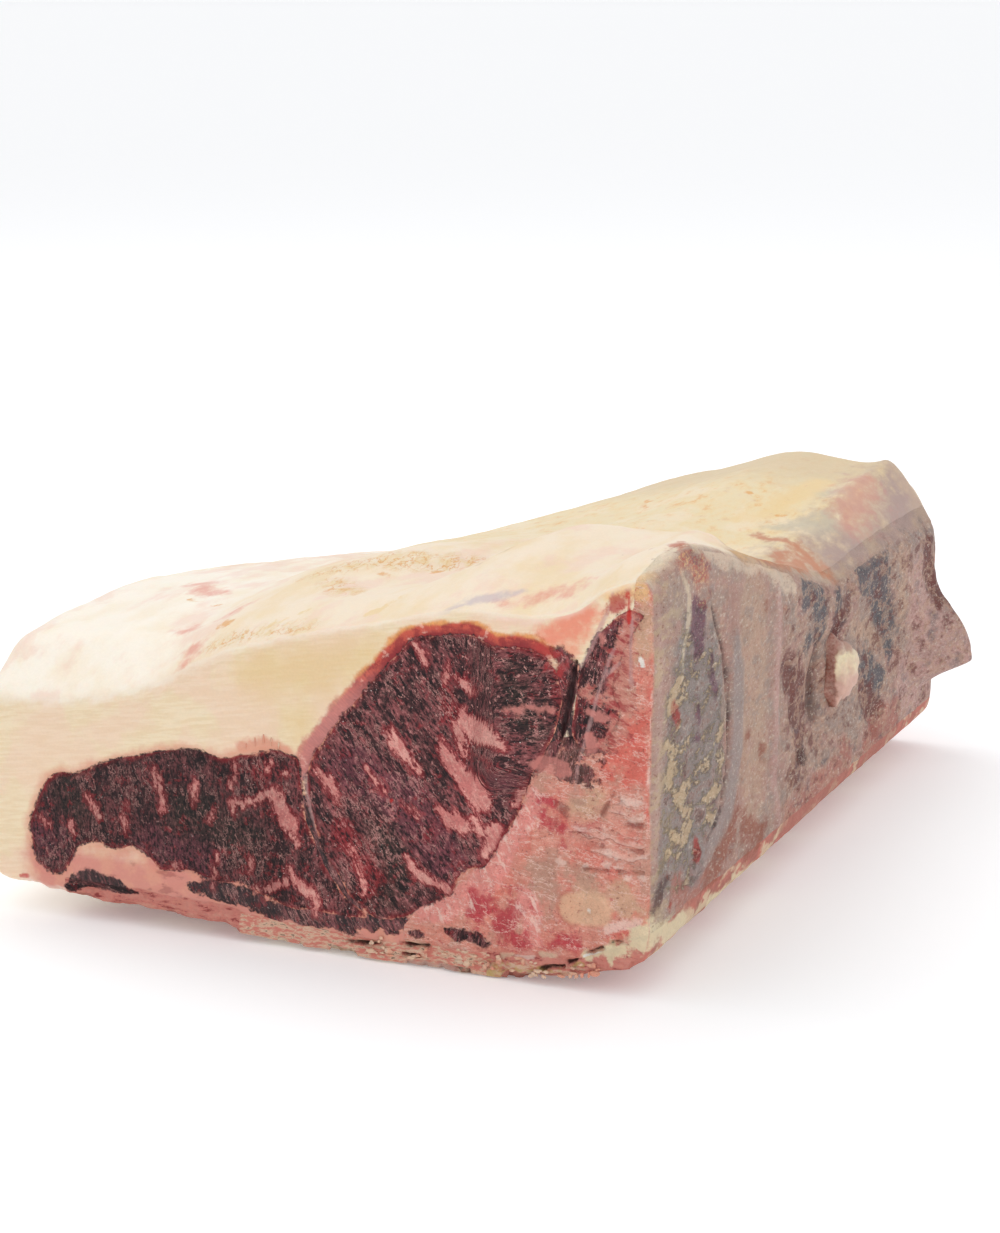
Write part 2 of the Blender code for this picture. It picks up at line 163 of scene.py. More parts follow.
# ---------------------------------------------------------------- how fine the meshes are
OUTLINE_STEP = 0.13
MUSCLE_STEP = 0.1
STATIONS = 130
FIRST_STATION = 0.42  # share of the even step that the first slice has
HIDDEN_STATIONS = 26
CUT_CELL = 0.1
REACH_PAST = 1.5
ON_FACE = 0.02  # how near to a face a vertex counts as on it
LEDGE_PITCH = 0.42
SHARP_FROM = math.radians(50)

# ---------------------------------------------------------------- how the cut looks
# The near fat reaches back to here and right to here, and changes slowly into the older fat.
NEAR_TO = -5.0
NEAR_LEFT_OF = 5.0
NEAR_SLOPE = 0.12
SILVERSKIN_ENDS = ((0.2, 6.3), (10.4, 12.0))  # two places on the line that it stays above
SILVERSKIN_WIDTH = 0.55
# Each muscle's fibres: their first and second turn in degrees, and how long their grain is drawn out.
FIBRE_TURNS = {"eye_muscle": (55.0, -8.0, 2.6), "flank_muscle": (80.0, 70.0, 2.0),
               "back_muscle": (100.0, 100.0, 3.0)}

# ---------------------------------------------------------------- where the joint is seen from
VIEW_TURN = math.radians(23.0)
VIEW_DIP = math.radians(12.55)
VIEW_FROM = (45.73, -107.19, 34.44)
FOCAL_PIXELS = 2901.0
PICTURE_HEIGHT = 1233.0
SENSOR_WIDTH = 36.0
# The stage is in metres. The floor reaches so far each way that no far edge shows.
FLOOR_REACH = 60
PAPER_ROUGHNESS = 0.8
ROOM_TONE = (0.97, 0.98, 1.0, 1)
LAMPS = {"soft_top": ("key_power", 2.0, (-0.9, 0.4, 1.8)),
         "soft_side": ("side_power", 1.4, (1.7, -0.9, 0.9))}
LAMP_AIM = (0, 0, 0.08)

# ---------------------------------------------------------------- crumbs and rags on the front cut
CRUMBS = 60
CRUMB_SEED = 5
CRUMB_SPREAD = (3.0, 12.2)
CRUMB_DEPTH = 0.14  # how far in from the plane of the cut their middles lie
SMALL_CRUMB = (0.05, 0.05, 0.04)
CRUMB_GROWTH = (0.14, 0.06, 0.08)  # how much longer each way the largest crumb is
CRUMB_LIFT = 0.25
CRUMB_BAND = 0.6
CRUMB_LUMPS = (0.5, 0.08)  # how rough a crumb is, and the size of its bumps
CRUMB_NOISE = 40
CRUMB_FINENESS = 2
RAG_RADII = (0.04, 0.05)
RAG_LUMPS = (0.5, 0.1)
# Rags of flesh hang on the fat round the muscles: (across, up, half height).
RAGS = [(-1.7, 7.45, 0.14), (-1.35, 7.6, 0.2), (-1.0, 7.7, 0.22), (-0.7, 7.65, 0.18), (-0.4, 7.6, 0.15),
    (1.95, 9.2, 0.12), (2.15, 9.6, 0.16), (2.3, 9.9, 0.12), (10.85, 11.9, 0.14), (11.0, 11.5, 0.1)]

# ---------------------------------------------------------------- grooves and marks
# Grooves are (mark, depth, outer level, inner level). The depth is less than 0 where the mark stands out.
CUT_GROOVES = [("cleft", 0.28, -0.12, 0.1), ("fleck", -0.02, -0.05, 0.08), ("ledge", -0.05, -0.08, 0.03),
               ("ledge_gap", 0.1, -0.06, 0.03), ("gash", 0.25, -0.1, 0.06)]
SIDE_GROOVES = [("lilac_ridge", -0.16, -0.4, 0.4), ("second_fold", -0.1, -0.3, 0.3),
                ("crease", 0.14, -0.15, 0.1), ("knob_shadow", 0.1, -0.4, 0.4)]
# Each mark is a list of strands, and each strand a chain of (across, up, half width). On the front cut
# the places are (x, z), on the split side (y, z) and on top (x, y).
EYE_FLECKS = [
    [(3.9, 8.6, 0.1), (4.3, 8.15, 0.26), (4.7, 7.6, 0.2), (5.1, 7.1, 0.08)],
    [(6.6, 9.6, 0.08), (6.8, 9.1, 0.38), (7.4, 8.85, 0.42), (8.1, 8.55, 0.18), (8.3, 8.35, 0.06)],
    [(5.9, 8.4, 0.12), (6.1, 7.95, 0.2), (6.6, 7.4, 0.3), (7.0, 6.95, 0.42), (7.4, 6.45, 0.4),
     (7.6, 6.1, 0.12)], [(6.6, 8.8, 0.2), (6.8, 8.0, 0.12)],
    [(5.8, 6.0, 0.08), (6.2, 5.65, 0.28), (6.7, 5.45, 0.3), (7.1, 5.3, 0.1)],
    [(7.1, 5.75, 0.08), (7.5, 5.3, 0.16), (8.0, 5.5, 0.22), (7.8, 4.85, 0.26), (7.5, 4.4, 0.1)],
    [(9.2, 7.1, 0.08), (8.9, 6.8, 0.18), (8.7, 6.4, 0.1)],
    [(1.1, 6.8, 0.1), (1.5, 6.5, 0.22), (1.8, 6.05, 0.18), (2.0, 5.7, 0.06)],
    [(4.6, 4.05, 0.1), (4.9, 3.55, 0.18), (5.5, 3.25, 0.15), (6.2, 3.0, 0.12), (6.5, 2.95, 0.08)],
    [(4.9, 11.8, 0.05), (5.2, 11.4, 0.16), (5.4, 11.05, 0.05)],
    [(6.5, 10.75, 0.08), (6.8, 10.5, 0.18), (7.1, 10.25, 0.08)], [(4.6, 5.95, 0.06), (5.0, 5.6, 0.1)],
    [(2.8, 3.0, 0.08), (2.9, 2.5, 0.09)], [(2.2, 4.2, 0.05), (2.6, 3.8, 0.1), (2.8, 3.3, 0.08)],
    [(3.1, 7.1, 0.06), (3.4, 6.75, 0.1), (3.7, 6.4, 0.06)], [(6.2, 11.2, 0.04), (6.1, 10.5, 0.06)],
]
FLANK_FLECKS = [
    [(-5.5, 6.15, 0.09), (-5.4, 5.8, 0.15), (-5.2, 5.2, 0.11), (-5.2, 4.6, 0.08)],
    [(-3.8, 5.85, 0.08), (-3.9, 5.25, 0.08), (-4.0, 4.95, 0.05)],
    [(-2.2, 6.9, 0.06), (-2.2, 6.3, 0.08), (-2.4, 5.8, 0.06)],
    [(-2.4, 5.25, 0.08), (-1.7, 5.3, 0.09), (-1.0, 5.7, 0.14), (-0.6, 5.85, 0.21), (-0.4, 5.35, 0.24),
     (-0.1, 4.8, 0.34), (0.1, 4.25, 0.14), (0.3, 4.05, 0.08)],
    [(-8.4, 4.85, 0.08), (-8.1, 4.45, 0.14), (-7.9, 4.1, 0.09)],
    [(-6.7, 4.65, 0.08), (-6.8, 4.1, 0.09), (-6.8, 3.6, 0.06)], [(-10.4, 3.8, 0.06), (-10.1, 3.55, 0.09)],
    [(-9.1, 3.75, 0.09), (-9.0, 3.35, 0.06)], [(-3.1, 4.95, 0.05), (-3.3, 4.45, 0.04)],
    [(-0.1, 3.0, 0.09), (0.2, 2.6, 0.19), (0.8, 2.25, 0.21), (1.0, 1.9, 0.14), (1.0, 1.45, 0.08)],
    [(-1.5, 2.1, 0.08), (-0.8, 2.25, 0.13), (-0.2, 2.55, 0.13)],
    [(-3.0, 3.2, 0.05), (-3.1, 2.55, 0.08), (-3.2, 1.95, 0.09)],
    [(2.5, 4.05, 0.08), (2.8, 3.4, 0.11), (2.9, 2.65, 0.09)], [(-1.6, 3.25, 0.08), (-1.7, 2.75, 0.05)],
    [(-4.7, 2.6, 0.11), (-4.4, 2.5, 0.09)], [(-0.8, 6.95, 0.05), (-0.9, 6.55, 0.04)],
    [(-0.3, 6.45, 0.06), (-0.1, 6.65, 0.08)], [(-2.3, 4.85, 0.05), (-2.3, 5.15, 0.05)],
]
FRONT_MARKS = {
    "fleck": EYE_FLECKS + FLANK_FLECKS,
    "weathered": [[(3.6, 4.9, 0.7), (4.2, 3.6, 0.8), (3.8, 2.6, 0.6)], [(-8.9, 4.6, 0.8)],
        [(-4.2, 4.4, 1.0), (-2.0, 3.9, 0.9)], [(8.6, 10.9, 0.5), (9.6, 9.2, 0.5)]],
    "purple_flesh": [[(2.4, 7.2, 0.7), (4.2, 6.2, 0.9), (6.0, 4.2, 0.8)], [(-10.2, 3.0, 0.7)],
        [(-5.6, 3.2, 0.8), (-3.6, 2.9, 0.7)], [(8.2, 7.0, 0.5)], [(12.2, 13.2, 0.4), (13.0, 13.8, 0.3)]],
    "red_flesh": [[(2.2, 4.6, 0.5), (3.2, 3.2, 0.5)], [(6.2, 9.7, 0.4), (6.6, 9.2, 0.3)],
        [(10.2, 11.4, 0.25), (10.4, 10.4, 0.2)], [(-1.0, 6.5, 0.5)], [(5.4, 5.0, 0.3)],
        [(8.6, 12.4, 0.4), (9.4, 12.2, 0.3)]],
    "cleft": [[(10.9, 11.7, 0.03), (10.8, 11.3, 0.1), (10.65, 10.4, 0.14), (10.45, 9.5, 0.12),
         (10.35, 8.9, 0.04)]],
    "between": [[(10.3, 12.0, 0.2), (10.7, 11.4, 0.4), (10.5, 10.4, 0.5), (10.3, 9.5, 0.5),
         (9.85, 8.6, 0.5), (9.4, 8.0, 0.4)], [(10.75, 9.8, 0.25), (10.75, 8.8, 0.25)]],
    "back_low": [[(12.0, 12.7, 0.3), (11.7, 12.0, 0.5), (11.4, 11.2, 0.6), (11.0, 10.4, 0.6)],
        [(11.1, 10.1, 0.35), (10.6, 9.4, 0.5), (10.8, 8.5, 0.5), (10.5, 7.9, 0.4), (11.5, 7.8, 0.4)],
        [(11.9, 9.3, 0.5), (11.6, 8.7, 0.4)]],
    "veil": [[(12.8, 13.3, 0.35), (12.7, 12.5, 0.4), (12.5, 11.6, 0.45), (12.4, 10.9, 0.4)],
        [(11.3, 10.6, 0.25), (12.0, 10.5, 0.3), (12.7, 10.3, 0.5)], [(12.5, 9.5, 0.4), (12.1, 8.9, 0.3)]],
    "low_flesh": [[(-3.9, 1.95, 0.15), (-2.9, 1.8, 0.4), (-2.1, 1.8, 0.42), (-1.3, 1.56, 0.42),
         (-0.3, 1.4, 0.4), (0.9, 1.3, 0.4), (2.4, 1.36, 0.4), (3.4, 1.44, 0.34), (4.3, 1.55, 0.25)]],
    "seam_flesh": [[(0.7, 5.6, 0.25), (0.95, 4.4, 0.3), (1.6, 3.1, 0.35), (2.5, 1.9, 0.35)]],
    "sinew": [[(12.15, 13.7, 0.05), (11.8, 13.0, 0.08), (11.4, 12.1, 0.07), (11.05, 11.5, 0.05)],
        [(12.9, 13.4, 0.05), (12.9, 12.4, 0.06), (12.95, 11.0, 0.05)],
        [(12.3, 12.3, 0.05), (11.85, 11.1, 0.06), (11.4, 9.5, 0.06), (11.0, 8.0, 0.05),
         (10.9, 7.2, 0.03)], [(11.95, 11.3, 0.08), (12.5, 11.8, 0.06)],
        [(0.6, 6.6, 0.06), (0.75, 5.6, 0.05), (1.0, 4.6, 0.03)]],
    "smear": [[(8.4, 9.75, 0.1), (9.2, 9.95, 0.16), (10.1, 9.9, 0.1)],
        [(11.2, 10.0, 0.1), (12.0, 9.9, 0.14)], [(9.6, 8.0, 0.35), (10.4, 7.9, 0.3)],
        [(11.4, 9.1, 0.15), (11.5, 8.6, 0.2)], [(11.9, 12.6, 0.1)]],
    "wedge": [[(9.5, 6.7, 0.35), (8.6, 5.3, 0.45), (8.0, 4.1, 0.55), (7.2, 3.2, 0.55), (6.1, 2.3, 0.5),
         (5.1, 2.1, 0.3)], [(9.1, 3.1, 0.42), (9.3, 2.4, 0.45), (9.4, 1.7, 0.35)]],
    "marrow": [[(7.2, 2.9, 0.25), (7.7, 2.55, 0.45), (7.2, 2.15, 0.45)],
        [(8.0, 2.25, 0.35), (8.5, 1.85, 0.4), (8.7, 1.4, 0.28)], [(8.6, 3.2, 0.2), (8.7, 2.5, 0.25)],
        [(10.2, 5.85, 0.3), (10.4, 5.65, 0.2)], [(9.7, 6.4, 0.15), (9.95, 6.7, 0.14)],
        [(10.1, 1.85, 0.3), (10.4, 2.0, 0.2), (10.9, 1.75, 0.18)],
        [(10.95, 5.83, 0.11), (11.5, 5.77, 0.07)]],
    "coral": [[(13.6, 11.3, 0.2), (13.7, 10.4, 0.3)],
        [(13.4, 9.9, 0.6), (12.9, 9.2, 0.55), (12.4, 8.5, 0.45)], [(13.4, 8.8, 0.5), (13.1, 8.0, 0.5)],
        [(12.1, 7.9, 0.45)], [(13.75, 6.8, 0.17), (13.7, 5.7, 0.11)],
        [(12.8, 5.6, 0.15), (13.5, 5.6, 0.15)], [(12.5, 2.1, 0.28), (13.4, 2.6, 0.2)]],
    "peeled": [[(10.9, 5.6, 0.3), (12.0, 5.4, 0.5), (13.3, 5.2, 0.6)],
        [(13.2, 7.3, 0.3), (12.6, 6.6, 0.3)]],
    "ledge": [[(10.8, 5.9, 0.05), (11.5, 5.8, 0.06), (11.9, 5.66, 0.05)],
        [(11.0, 5.23, 0.05), (12.15, 5.1, 0.06)], [(11.35, 4.6, 0.05), (12.15, 4.66, 0.06)],
        [(12.45, 4.66, 0.05), (13.6, 4.7, 0.06)], [(12.8, 4.35, 0.04), (13.6, 4.4, 0.05)],
        [(12.5, 4.95, 0.04), (13.7, 5.1, 0.05)], [(12.85, 5.55, 0.1), (13.5, 5.55, 0.08)],
        [(9.7, 4.8, 0.05), (10.5, 4.6, 0.05)], [(12.6, 7.0, 0.04), (13.7, 6.95, 0.05)],
        [(13.05, 6.4, 0.08), (13.6, 6.5, 0.06)]],
    "ledge_gap": [[(10.9, 5.72, 0.07), (11.5, 5.6, 0.06)], [(11.35, 4.46, 0.06), (12.1, 4.5, 0.05)],
        [(11.5, 5.35, 0.08), (11.9, 5.32, 0.08)], [(12.8, 5.3, 0.06), (13.5, 5.3, 0.05)],
        [(10.4, 6.57, 0.13), (10.6, 6.25, 0.09)], [(12.5, 4.53, 0.04), (13.5, 4.58, 0.04)],
        [(12.3, 7.25, 0.04), (11.9, 6.5, 0.04)], [(12.8, 6.2, 0.04), (13.5, 6.25, 0.05)]],
    "grey_bone": [[(9.8, 4.2, 0.55), (9.7, 3.6, 0.55), (10.1, 3.2, 0.35)],
        [(11.0, 7.1, 0.3), (11.3, 7.4, 0.3)], [(10.9, 4.3, 0.4), (11.5, 4.1, 0.3)]],
    "beige_bone": [[(12.6, 3.6, 0.55), (13.1, 3.25, 0.55)], [(11.35, 3.9, 0.45)],
        [(11.15, 6.6, 0.45), (11.7, 7.15, 0.4)],
        [(13.2, 12.9, 0.5), (13.35, 12.3, 0.4), (13.5, 13.5, 0.4)]],
    "oval": [[(10.9, 2.98, 0.58), (11.7, 3.03, 0.62)]],
    "chalk": [[(13.32, 12.0, 0.09), (13.38, 11.8, 0.1)], [(11.45, 2.95, 0.1)], [(11.3, 9.75, 0.03)],
        [(11.3, 1.85, 0.05)], [(7.3, 10.75, 0.03)], [(12.15, 12.9, 0.05)],
        [(11.4, 1.2, 0.1), (12.15, 1.4, 0.12)]],
    "white_band": [[(11.8, 2.25, 0.11), (12.65, 2.6, 0.15), (13.4, 2.8, 0.09)],
        [(13.83, 10.8, 0.08), (13.84, 9.3, 0.08), (13.78, 7.7, 0.08)],
        [(8.8, 0.85, 0.13), (9.3, 0.93, 0.13)], [(4.5, 0.64, 0.07), (5.4, 0.69, 0.07)]],
    "corner_fat": [[(11.6, 1.3, 0.22), (12.45, 1.6, 0.35), (13.4, 2.1, 0.35), (13.8, 2.45, 0.28)]],
    "base_crust": [[(1.0, 0.5, 0.25), (4.3, 0.5, 0.28), (7.0, 0.55, 0.37), (8.4, 0.65, 0.42),
         (9.7, 0.65, 0.42), (10.6, 0.95, 0.37)]],
    "olive": [[(7.5, 0.1, 0.11), (8.7, 0.18, 0.11), (9.7, 0.3, 0.08)],
        [(10.9, 0.7, 0.12), (11.2, 0.7, 0.09)]],
    "pale_crumb": [[(8.2, 0.85, 0.1), (8.6, 0.9, 0.08)], [(9.7, 1.1, 0.08), (10.2, 1.1, 0.1)],
        [(3.4, 0.75, 0.06), (4.6, 0.85, 0.08), (5.4, 0.9, 0.05)], [(0.8, 0.8, 0.05), (2.0, 0.8, 0.06)]],
    "base_meat": [[(5.9, 1.5, 0.13), (6.6, 1.5, 0.3), (7.25, 1.4, 0.25), (7.55, 1.2, 0.15)],
        [(4.7, 1.25, 0.12), (5.2, 1.22, 0.1)], [(3.2, 1.2, 0.05), (4.2, 1.2, 0.06)]],
    "gash": [[(4.35, 0.75, 0.05), (5.3, 0.8, 0.06)], [(4.35, 0.36, 0.05), (5.0, 0.31, 0.05)],
        [(11.45, 1.37, 0.07), (11.9, 1.6, 0.08)], [(10.7, 0.91, 0.08), (11.0, 0.92, 0.06)],
        [(5.3, 0.16, 0.03), (6.9, 0.1, 0.05)], [(9.7, 0.36, 0.04), (10.5, 0.66, 0.06)],
        [(2.2, 0.55, 0.03), (3.4, 0.62, 0.05)], [(12.3, 1.9, 0.04), (12.65, 1.98, 0.03)]],
    "lump": [[(-9.3, 1.0, 0.12), (-8.7, 1.5, 0.4), (-7.9, 1.6, 0.42), (-7.1, 1.35, 0.25),
         (-6.5, 1.1, 0.1)]],
    "lump_fat": [[(-8.3, 1.2, 0.1), (-7.6, 1.25, 0.1)], [(-8.9, 1.7, 0.06)]],
    "scarlet": [[(-11.45, 1.15, 0.1), (-11.2, 1.1, 0.12)], [(4.0, 6.05, 0.05)], [(-8.6, 1.0, 0.08)],
        [(-7.5, 1.0, 0.06)], [(12.75, 14.2, 0.06), (12.8, 13.7, 0.08), (12.8, 13.2, 0.04)]],
    "red_root": [[(12.2, 13.65, 0.2), (12.6, 13.9, 0.25)], [(10.2, 11.45, 0.14), (10.55, 11.6, 0.14)],
        [(9.6, 12.1, 0.15), (10.2, 11.9, 0.1)]],
    "yellow_fat": [[(-1.0, 10.2, 0.9), (1.4, 10.6, 0.9), (3.2, 11.3, 0.5)], [(0.4, 8.6, 0.6)]],
    "coral_fat": [[(9.9, 12.3, 0.4), (10.6, 12.9, 0.6), (11.3, 13.4, 0.5)], [(10.6, 12.0, 0.3)]],
    "orange_fat": [[(11.9, 14.3, 0.4), (12.7, 14.5, 0.4), (13.4, 14.4, 0.3)]],
    "rose_front": [[(8.4, 13.1, 0.3), (9.4, 13.4, 0.4), (10.6, 14.2, 0.3), (11.6, 14.5, 0.25)]],
    "frayed": [[(-1.9, 7.35, 0.2), (-1.0, 7.55, 0.3), (-0.2, 7.4, 0.25)],
        [(1.9, 8.9, 0.2), (2.7, 9.9, 0.25)]],
}
SIDE_MARKS = {
    "edge_strip": [[(-18.5, 14.0, 0.5), (-18.3, 11.0, 0.5), (-18.3, 8.0, 0.5), (-18.6, 5.0, 0.45)]],
    "grey_zone": [[(-14.8, 11.2, 1.8), (-14.3, 9.2, 3.1), (-14.4, 7.2, 3.3), (-15.4, 5.6, 2.6),
         (-16.7, 4.5, 1.4)]],
    "mould": [[(-16.4, 10.6, 0.4), (-16.6, 8.9, 0.5), (-16.8, 7.6, 0.5)],
        [(-15.4, 7.8, 0.35), (-15.6, 6.6, 0.5), (-15.0, 5.7, 0.6)],
        [(-11.3, 8.0, 0.3), (-11.6, 6.6, 0.4), (-12.6, 5.4, 0.5)], [(-15.8, 5.0, 0.5)],
        [(-14.9, 10.9, 0.3)]],
    "purple_side": [[(-14.6, 13.3, 0.3), (-14.1, 12.4, 0.7), (-13.9, 11.6, 0.6), (-14.3, 10.8, 0.15)],
        [(-14.1, 9.3, 0.2), (-14.0, 8.2, 0.3)], [(-12.7, 10.8, 0.2), (-12.4, 9.6, 0.2)]],
    "cream_line": [[(-15.9, 14.5, 0.1), (-15.2, 13.7, 0.2), (-15.1, 12.8, 0.2), (-15.6, 11.6, 0.15),
         (-15.7, 10.7, 0.1)], [(-11.7, 11.7, 0.08), (-11.6, 11.3, 0.14)]],
    "crease": [[(-12.6, 12.7, 0.1), (-12.0, 11.8, 0.14), (-11.2, 10.6, 0.12), (-10.8, 9.6, 0.12),
         (-10.6, 8.2, 0.1), (-10.7, 6.6, 0.08), (-11.6, 4.9, 0.08), (-13.2, 4.2, 0.06)]],
    "lilac_ridge": [[(-10.2, 11.0, 0.3), (-9.8, 9.6, 0.6), (-9.8, 6.6, 0.7), (-10.8, 4.8, 0.6),
         (-13.0, 3.9, 0.5), (-14.6, 3.2, 0.4)]],
    "bone_panel": [[(-8.2, 12.0, 1.6), (-7.8, 9.0, 1.7), (-7.6, 6.0, 1.6), (-7.6, 4.4, 1.2)]],
    "second_fold": [[(-5.1, 12.0, 0.25), (-5.0, 9.0, 0.3), (-5.0, 6.2, 0.3), (-5.3, 4.3, 0.3),
         (-4.6, 2.6, 0.3)]],
    "maroon": [[(-3.6, 8.4, 0.6), (-2.0, 7.0, 1.3), (-1.2, 5.4, 1.3), (-2.2, 4.0, 0.8)],
        [(16.9, 9.2, 0.8), (18.0, 7.6, 1.2)], [(2.4, 8.0, 0.4), (4.8, 9.6, 0.6)],
        [(7.5, 4.8, 0.7), (9.0, 3.4, 0.9)]],
    "knob_shadow": [[(0.9, 8.0, 0.3), (0.7, 6.9, 0.6), (0.9, 5.6, 0.5)]],
    "slate": [[(-1.2, 10.9, 0.7), (0.6, 10.3, 1.0), (1.0, 9.2, 0.7)], [(-0.6, 8.6, 0.5)],
        [(3.3, 9.8, 0.5), (3.1, 8.6, 0.5)],
        [(7.2, 10.2, 1.0), (9.6, 9.4, 1.3), (10.6, 8.0, 1.1), (11.2, 6.4, 0.8)],
        [(7.4, 6.0, 0.6), (9.8, 5.0, 0.7)]],
    "rust": [[(-9.6, 4.4, 0.4), (-10.6, 3.6, 0.7), (-12.0, 3.0, 0.7), (-13.2, 2.6, 0.5)],
        [(-8.6, 3.3, 0.7), (-6.6, 2.6, 0.5)], [(-6.6, 5.9, 0.25)], [(-8.5, 6.9, 0.3)],
        [(-6.4, 11.4, 0.12)], [(-4.2, 10.9, 0.16)], [(-5.2, 5.2, 0.2), (-5.1, 4.6, 0.2)]],
    "raw_rib": [[(-16.4, 3.2, 0.5), (-15.2, 2.7, 0.8), (-14.0, 2.7, 0.6)],
        [(-3.4, 2.2, 0.8), (0.7, 2.2, 0.9), (4.5, 2.6, 0.9)], [(8.0, 2.4, 1.0), (12.0, 2.6, 1.0)]],
    "dark_spot": [[(-17.3, 3.9, 0.3), (-18.2, 3.4, 0.4)], [(-1.0, 4.3, 0.5)], [(5.8, 6.0, 0.4)]],
    "corner_cream": [[(-19.4, 2.4, 0.5), (-18.0, 2.3, 0.5), (-16.4, 1.8, 0.45), (-14.9, 1.7, 0.3)],
        [(-12.0, 1.6, 0.25), (-8.6, 1.4, 0.25), (-5.6, 1.4, 0.2)]],
    "blood_spot": [[(-16.6, 9.95, 0.25), (-16.1, 9.4, 0.35)], [(-14.2, 4.4, 0.2), (-14.1, 3.9, 0.2)],
        [(-16.9, 2.9, 0.2)]],
    "stain_corner": [[(-15.4, 15.4, 0.6), (-14.9, 14.8, 0.7), (-14.0, 14.3, 0.7), (-13.4, 13.8, 0.5)]],
    "pale_crest": [[(-12.6, 14.9, 0.6), (-9.2, 14.0, 0.7), (-6.2, 13.3, 0.6), (-5.0, 12.4, 0.5),
         (-3.0, 11.5, 0.3)]],
    "mauve_end": [[(15.4, 8.0, 1.6), (16.6, 4.6, 2.2), (14.0, 3.4, 1.8)]],
    "grey_shoulder": [[(11.0, 12.4, 1.6), (14.5, 11.8, 2.0), (17.6, 11.0, 1.6)]],
    "pale_veins": [[(5.6, 7.9, 0.4), (8.6, 7.4, 0.4), (10.4, 6.4, 0.3)],
        [(12.8, 9.8, 0.5), (13.0, 7.6, 0.6)], [(-3.2, 3.6, 0.4)]],
}
TOP_MARKS = {
    "rose_stain": [[(-8.9, -8.7, 0.4), (-7.6, -10.2, 0.4)], [(-4.3, -13.9, 0.2), (-4.6, -14.7, 0.25)],
        [(-6.1, -15.1, 0.3)], [(-4.6, -17.1, 0.2), (-4.4, -18.2, 0.25)],
        [(8.0, -17.6, 0.15), (9.0, -16.9, 0.3), (10.2, -16.2, 0.3)]],
    "amber": [[(-8.0, -11.3, 0.15), (-7.6, -11.6, 0.1)], [(-6.5, -12.0, 0.14)],
        [(-4.0, -15.9, 0.2), (-3.6, -16.1, 0.1)], [(0.0, -10.7, 0.14)],
        [(1.6, -9.7, 0.2), (2.0, -9.3, 0.12)], [(4.2, 6.2, 0.15), (3.4, 8.8, 0.1)], [(8.1, 8.5, 0.12)],
        [(10.2, 6.6, 0.12)], [(-0.9, -13.4, 0.12)]],
    "flake": [[(-1.6, -17.3, 0.1), (-1.1, -16.7, 0.15), (-0.4, -16.2, 0.11)],
        [(2.5, -17.3, 0.11), (3.0, -16.8, 0.15), (3.3, -16.3, 0.11)]],
    "pit": [[(4.6, -14.6, 0.3), (5.2, -13.6, 0.4), (5.8, -12.0, 0.3)]],
    "trimmed": [[(-2.6, -10.4, 0.9), (-0.8, -9.3, 1.0), (2.4, -8.0, 1.0)],
        [(0.1, -13.7, 0.5), (-1.5, -12.1, 0.4)], [(-3.3, -17.5, 0.4), (0.1, -17.8, 0.4)]],
    "lilac_streak": [[(6.0, -18.8, 0.15), (6.7, -17.6, 0.3), (7.6, -17.0, 0.25), (8.3, -16.6, 0.1)]],
    "corner_stain": [[(13.4, -15.0, 0.5), (12.7, -13.6, 0.3), (12.0, -11.4, 0.1)]],
    "yellow_streak": [[(8.8, 4.8, 0.3), (9.6, 6.7, 0.5), (9.9, 9.2, 0.6), (10.0, 12.5, 0.6)]],
    "grey_streak": [[(10.3, 4.9, 0.4), (11.4, 6.0, 0.6), (11.8, 7.8, 0.5)],
        [(10.7, 10.5, 0.4), (11.2, 11.4, 0.3)]],
    "coral_streak": [[(11.6, 14.5, 0.5), (11.8, 11.7, 0.7), (12.3, 8.9, 0.5)]],
    "mauve_slope": [[(12.4, 16.4, 0.5), (13.2, 15.0, 0.8), (13.7, 12.8, 0.8), (13.7, 10.8, 0.7)],
        [(12.8, 5.1, 0.5), (13.3, 8.4, 0.6)]],
    "brown_valley": [[(12.5, -6.6, 0.3), (13.2, -5.0, 0.4), (12.9, -1.6, 0.5), (12.3, 2.3, 0.6)],
        [(10.4, 3.2, 0.3), (11.9, 3.2, 0.5), (12.8, 3.0, 0.6), (13.5, 3.4, 0.5)]],
    "peach": [[(11.4, -18.7, 0.4), (12.8, -18.6, 0.5), (13.5, -18.1, 0.4)]],
    "brown_speck": [[(8.9, -10.1, 0.06)], [(12.9, -16.6, 0.07)], [(10.0, -11.8, 0.06)],
        [(9.2, -15.2, 0.05)]],
}


# ---------------------------------------------------------------- curves and noise
def smooth_step(low, high, place):
    t = np.clip((place - low) / (high - low), 0.0, 1.0)
    return t * t * (3 - 2 * t)


def hill(place, middle, reach):
    return np.exp(-((place - middle) / reach) ** 2)


def smooth_through(knots, values, place):
    """A smooth curve through the values at the knots, level outside them. Values may be arrays."""
    slopes = [0.0 * place]
    for k in range(1, len(knots) - 1):
        before = (values[k] - values[k - 1]) / (knots[k] - knots[k - 1])
        after = (values[k + 1] - values[k]) / (knots[k + 1] - knots[k])
        both = np.asarray(before * after)
        total = np.where(both > 0, before + after, 1.0)
        slopes.append(np.where(both > 0, 2 * both / total, 0.0) + 0.0 * place)
    slopes.append(0.0 * place)
    result = values[0] + 0.0 * place
    for k in range(len(knots) - 1):
        span = knots[k + 1] - knots[k]
        t = (place - knots[k]) / span
        curve = (values[k] * (1 + 2 * t) * (1 - t) ** 2 + values[k + 1] * t * t * (3 - 2 * t)
                 + span * (slopes[k] * t * (1 - t) ** 2 - slopes[k + 1] * t * t * (1 - t)))
        result = np.where((place >= knots[k]) & (place <= knots[k + 1]), curve, result)
    return np.where(place > knots[-1], values[-1], result)


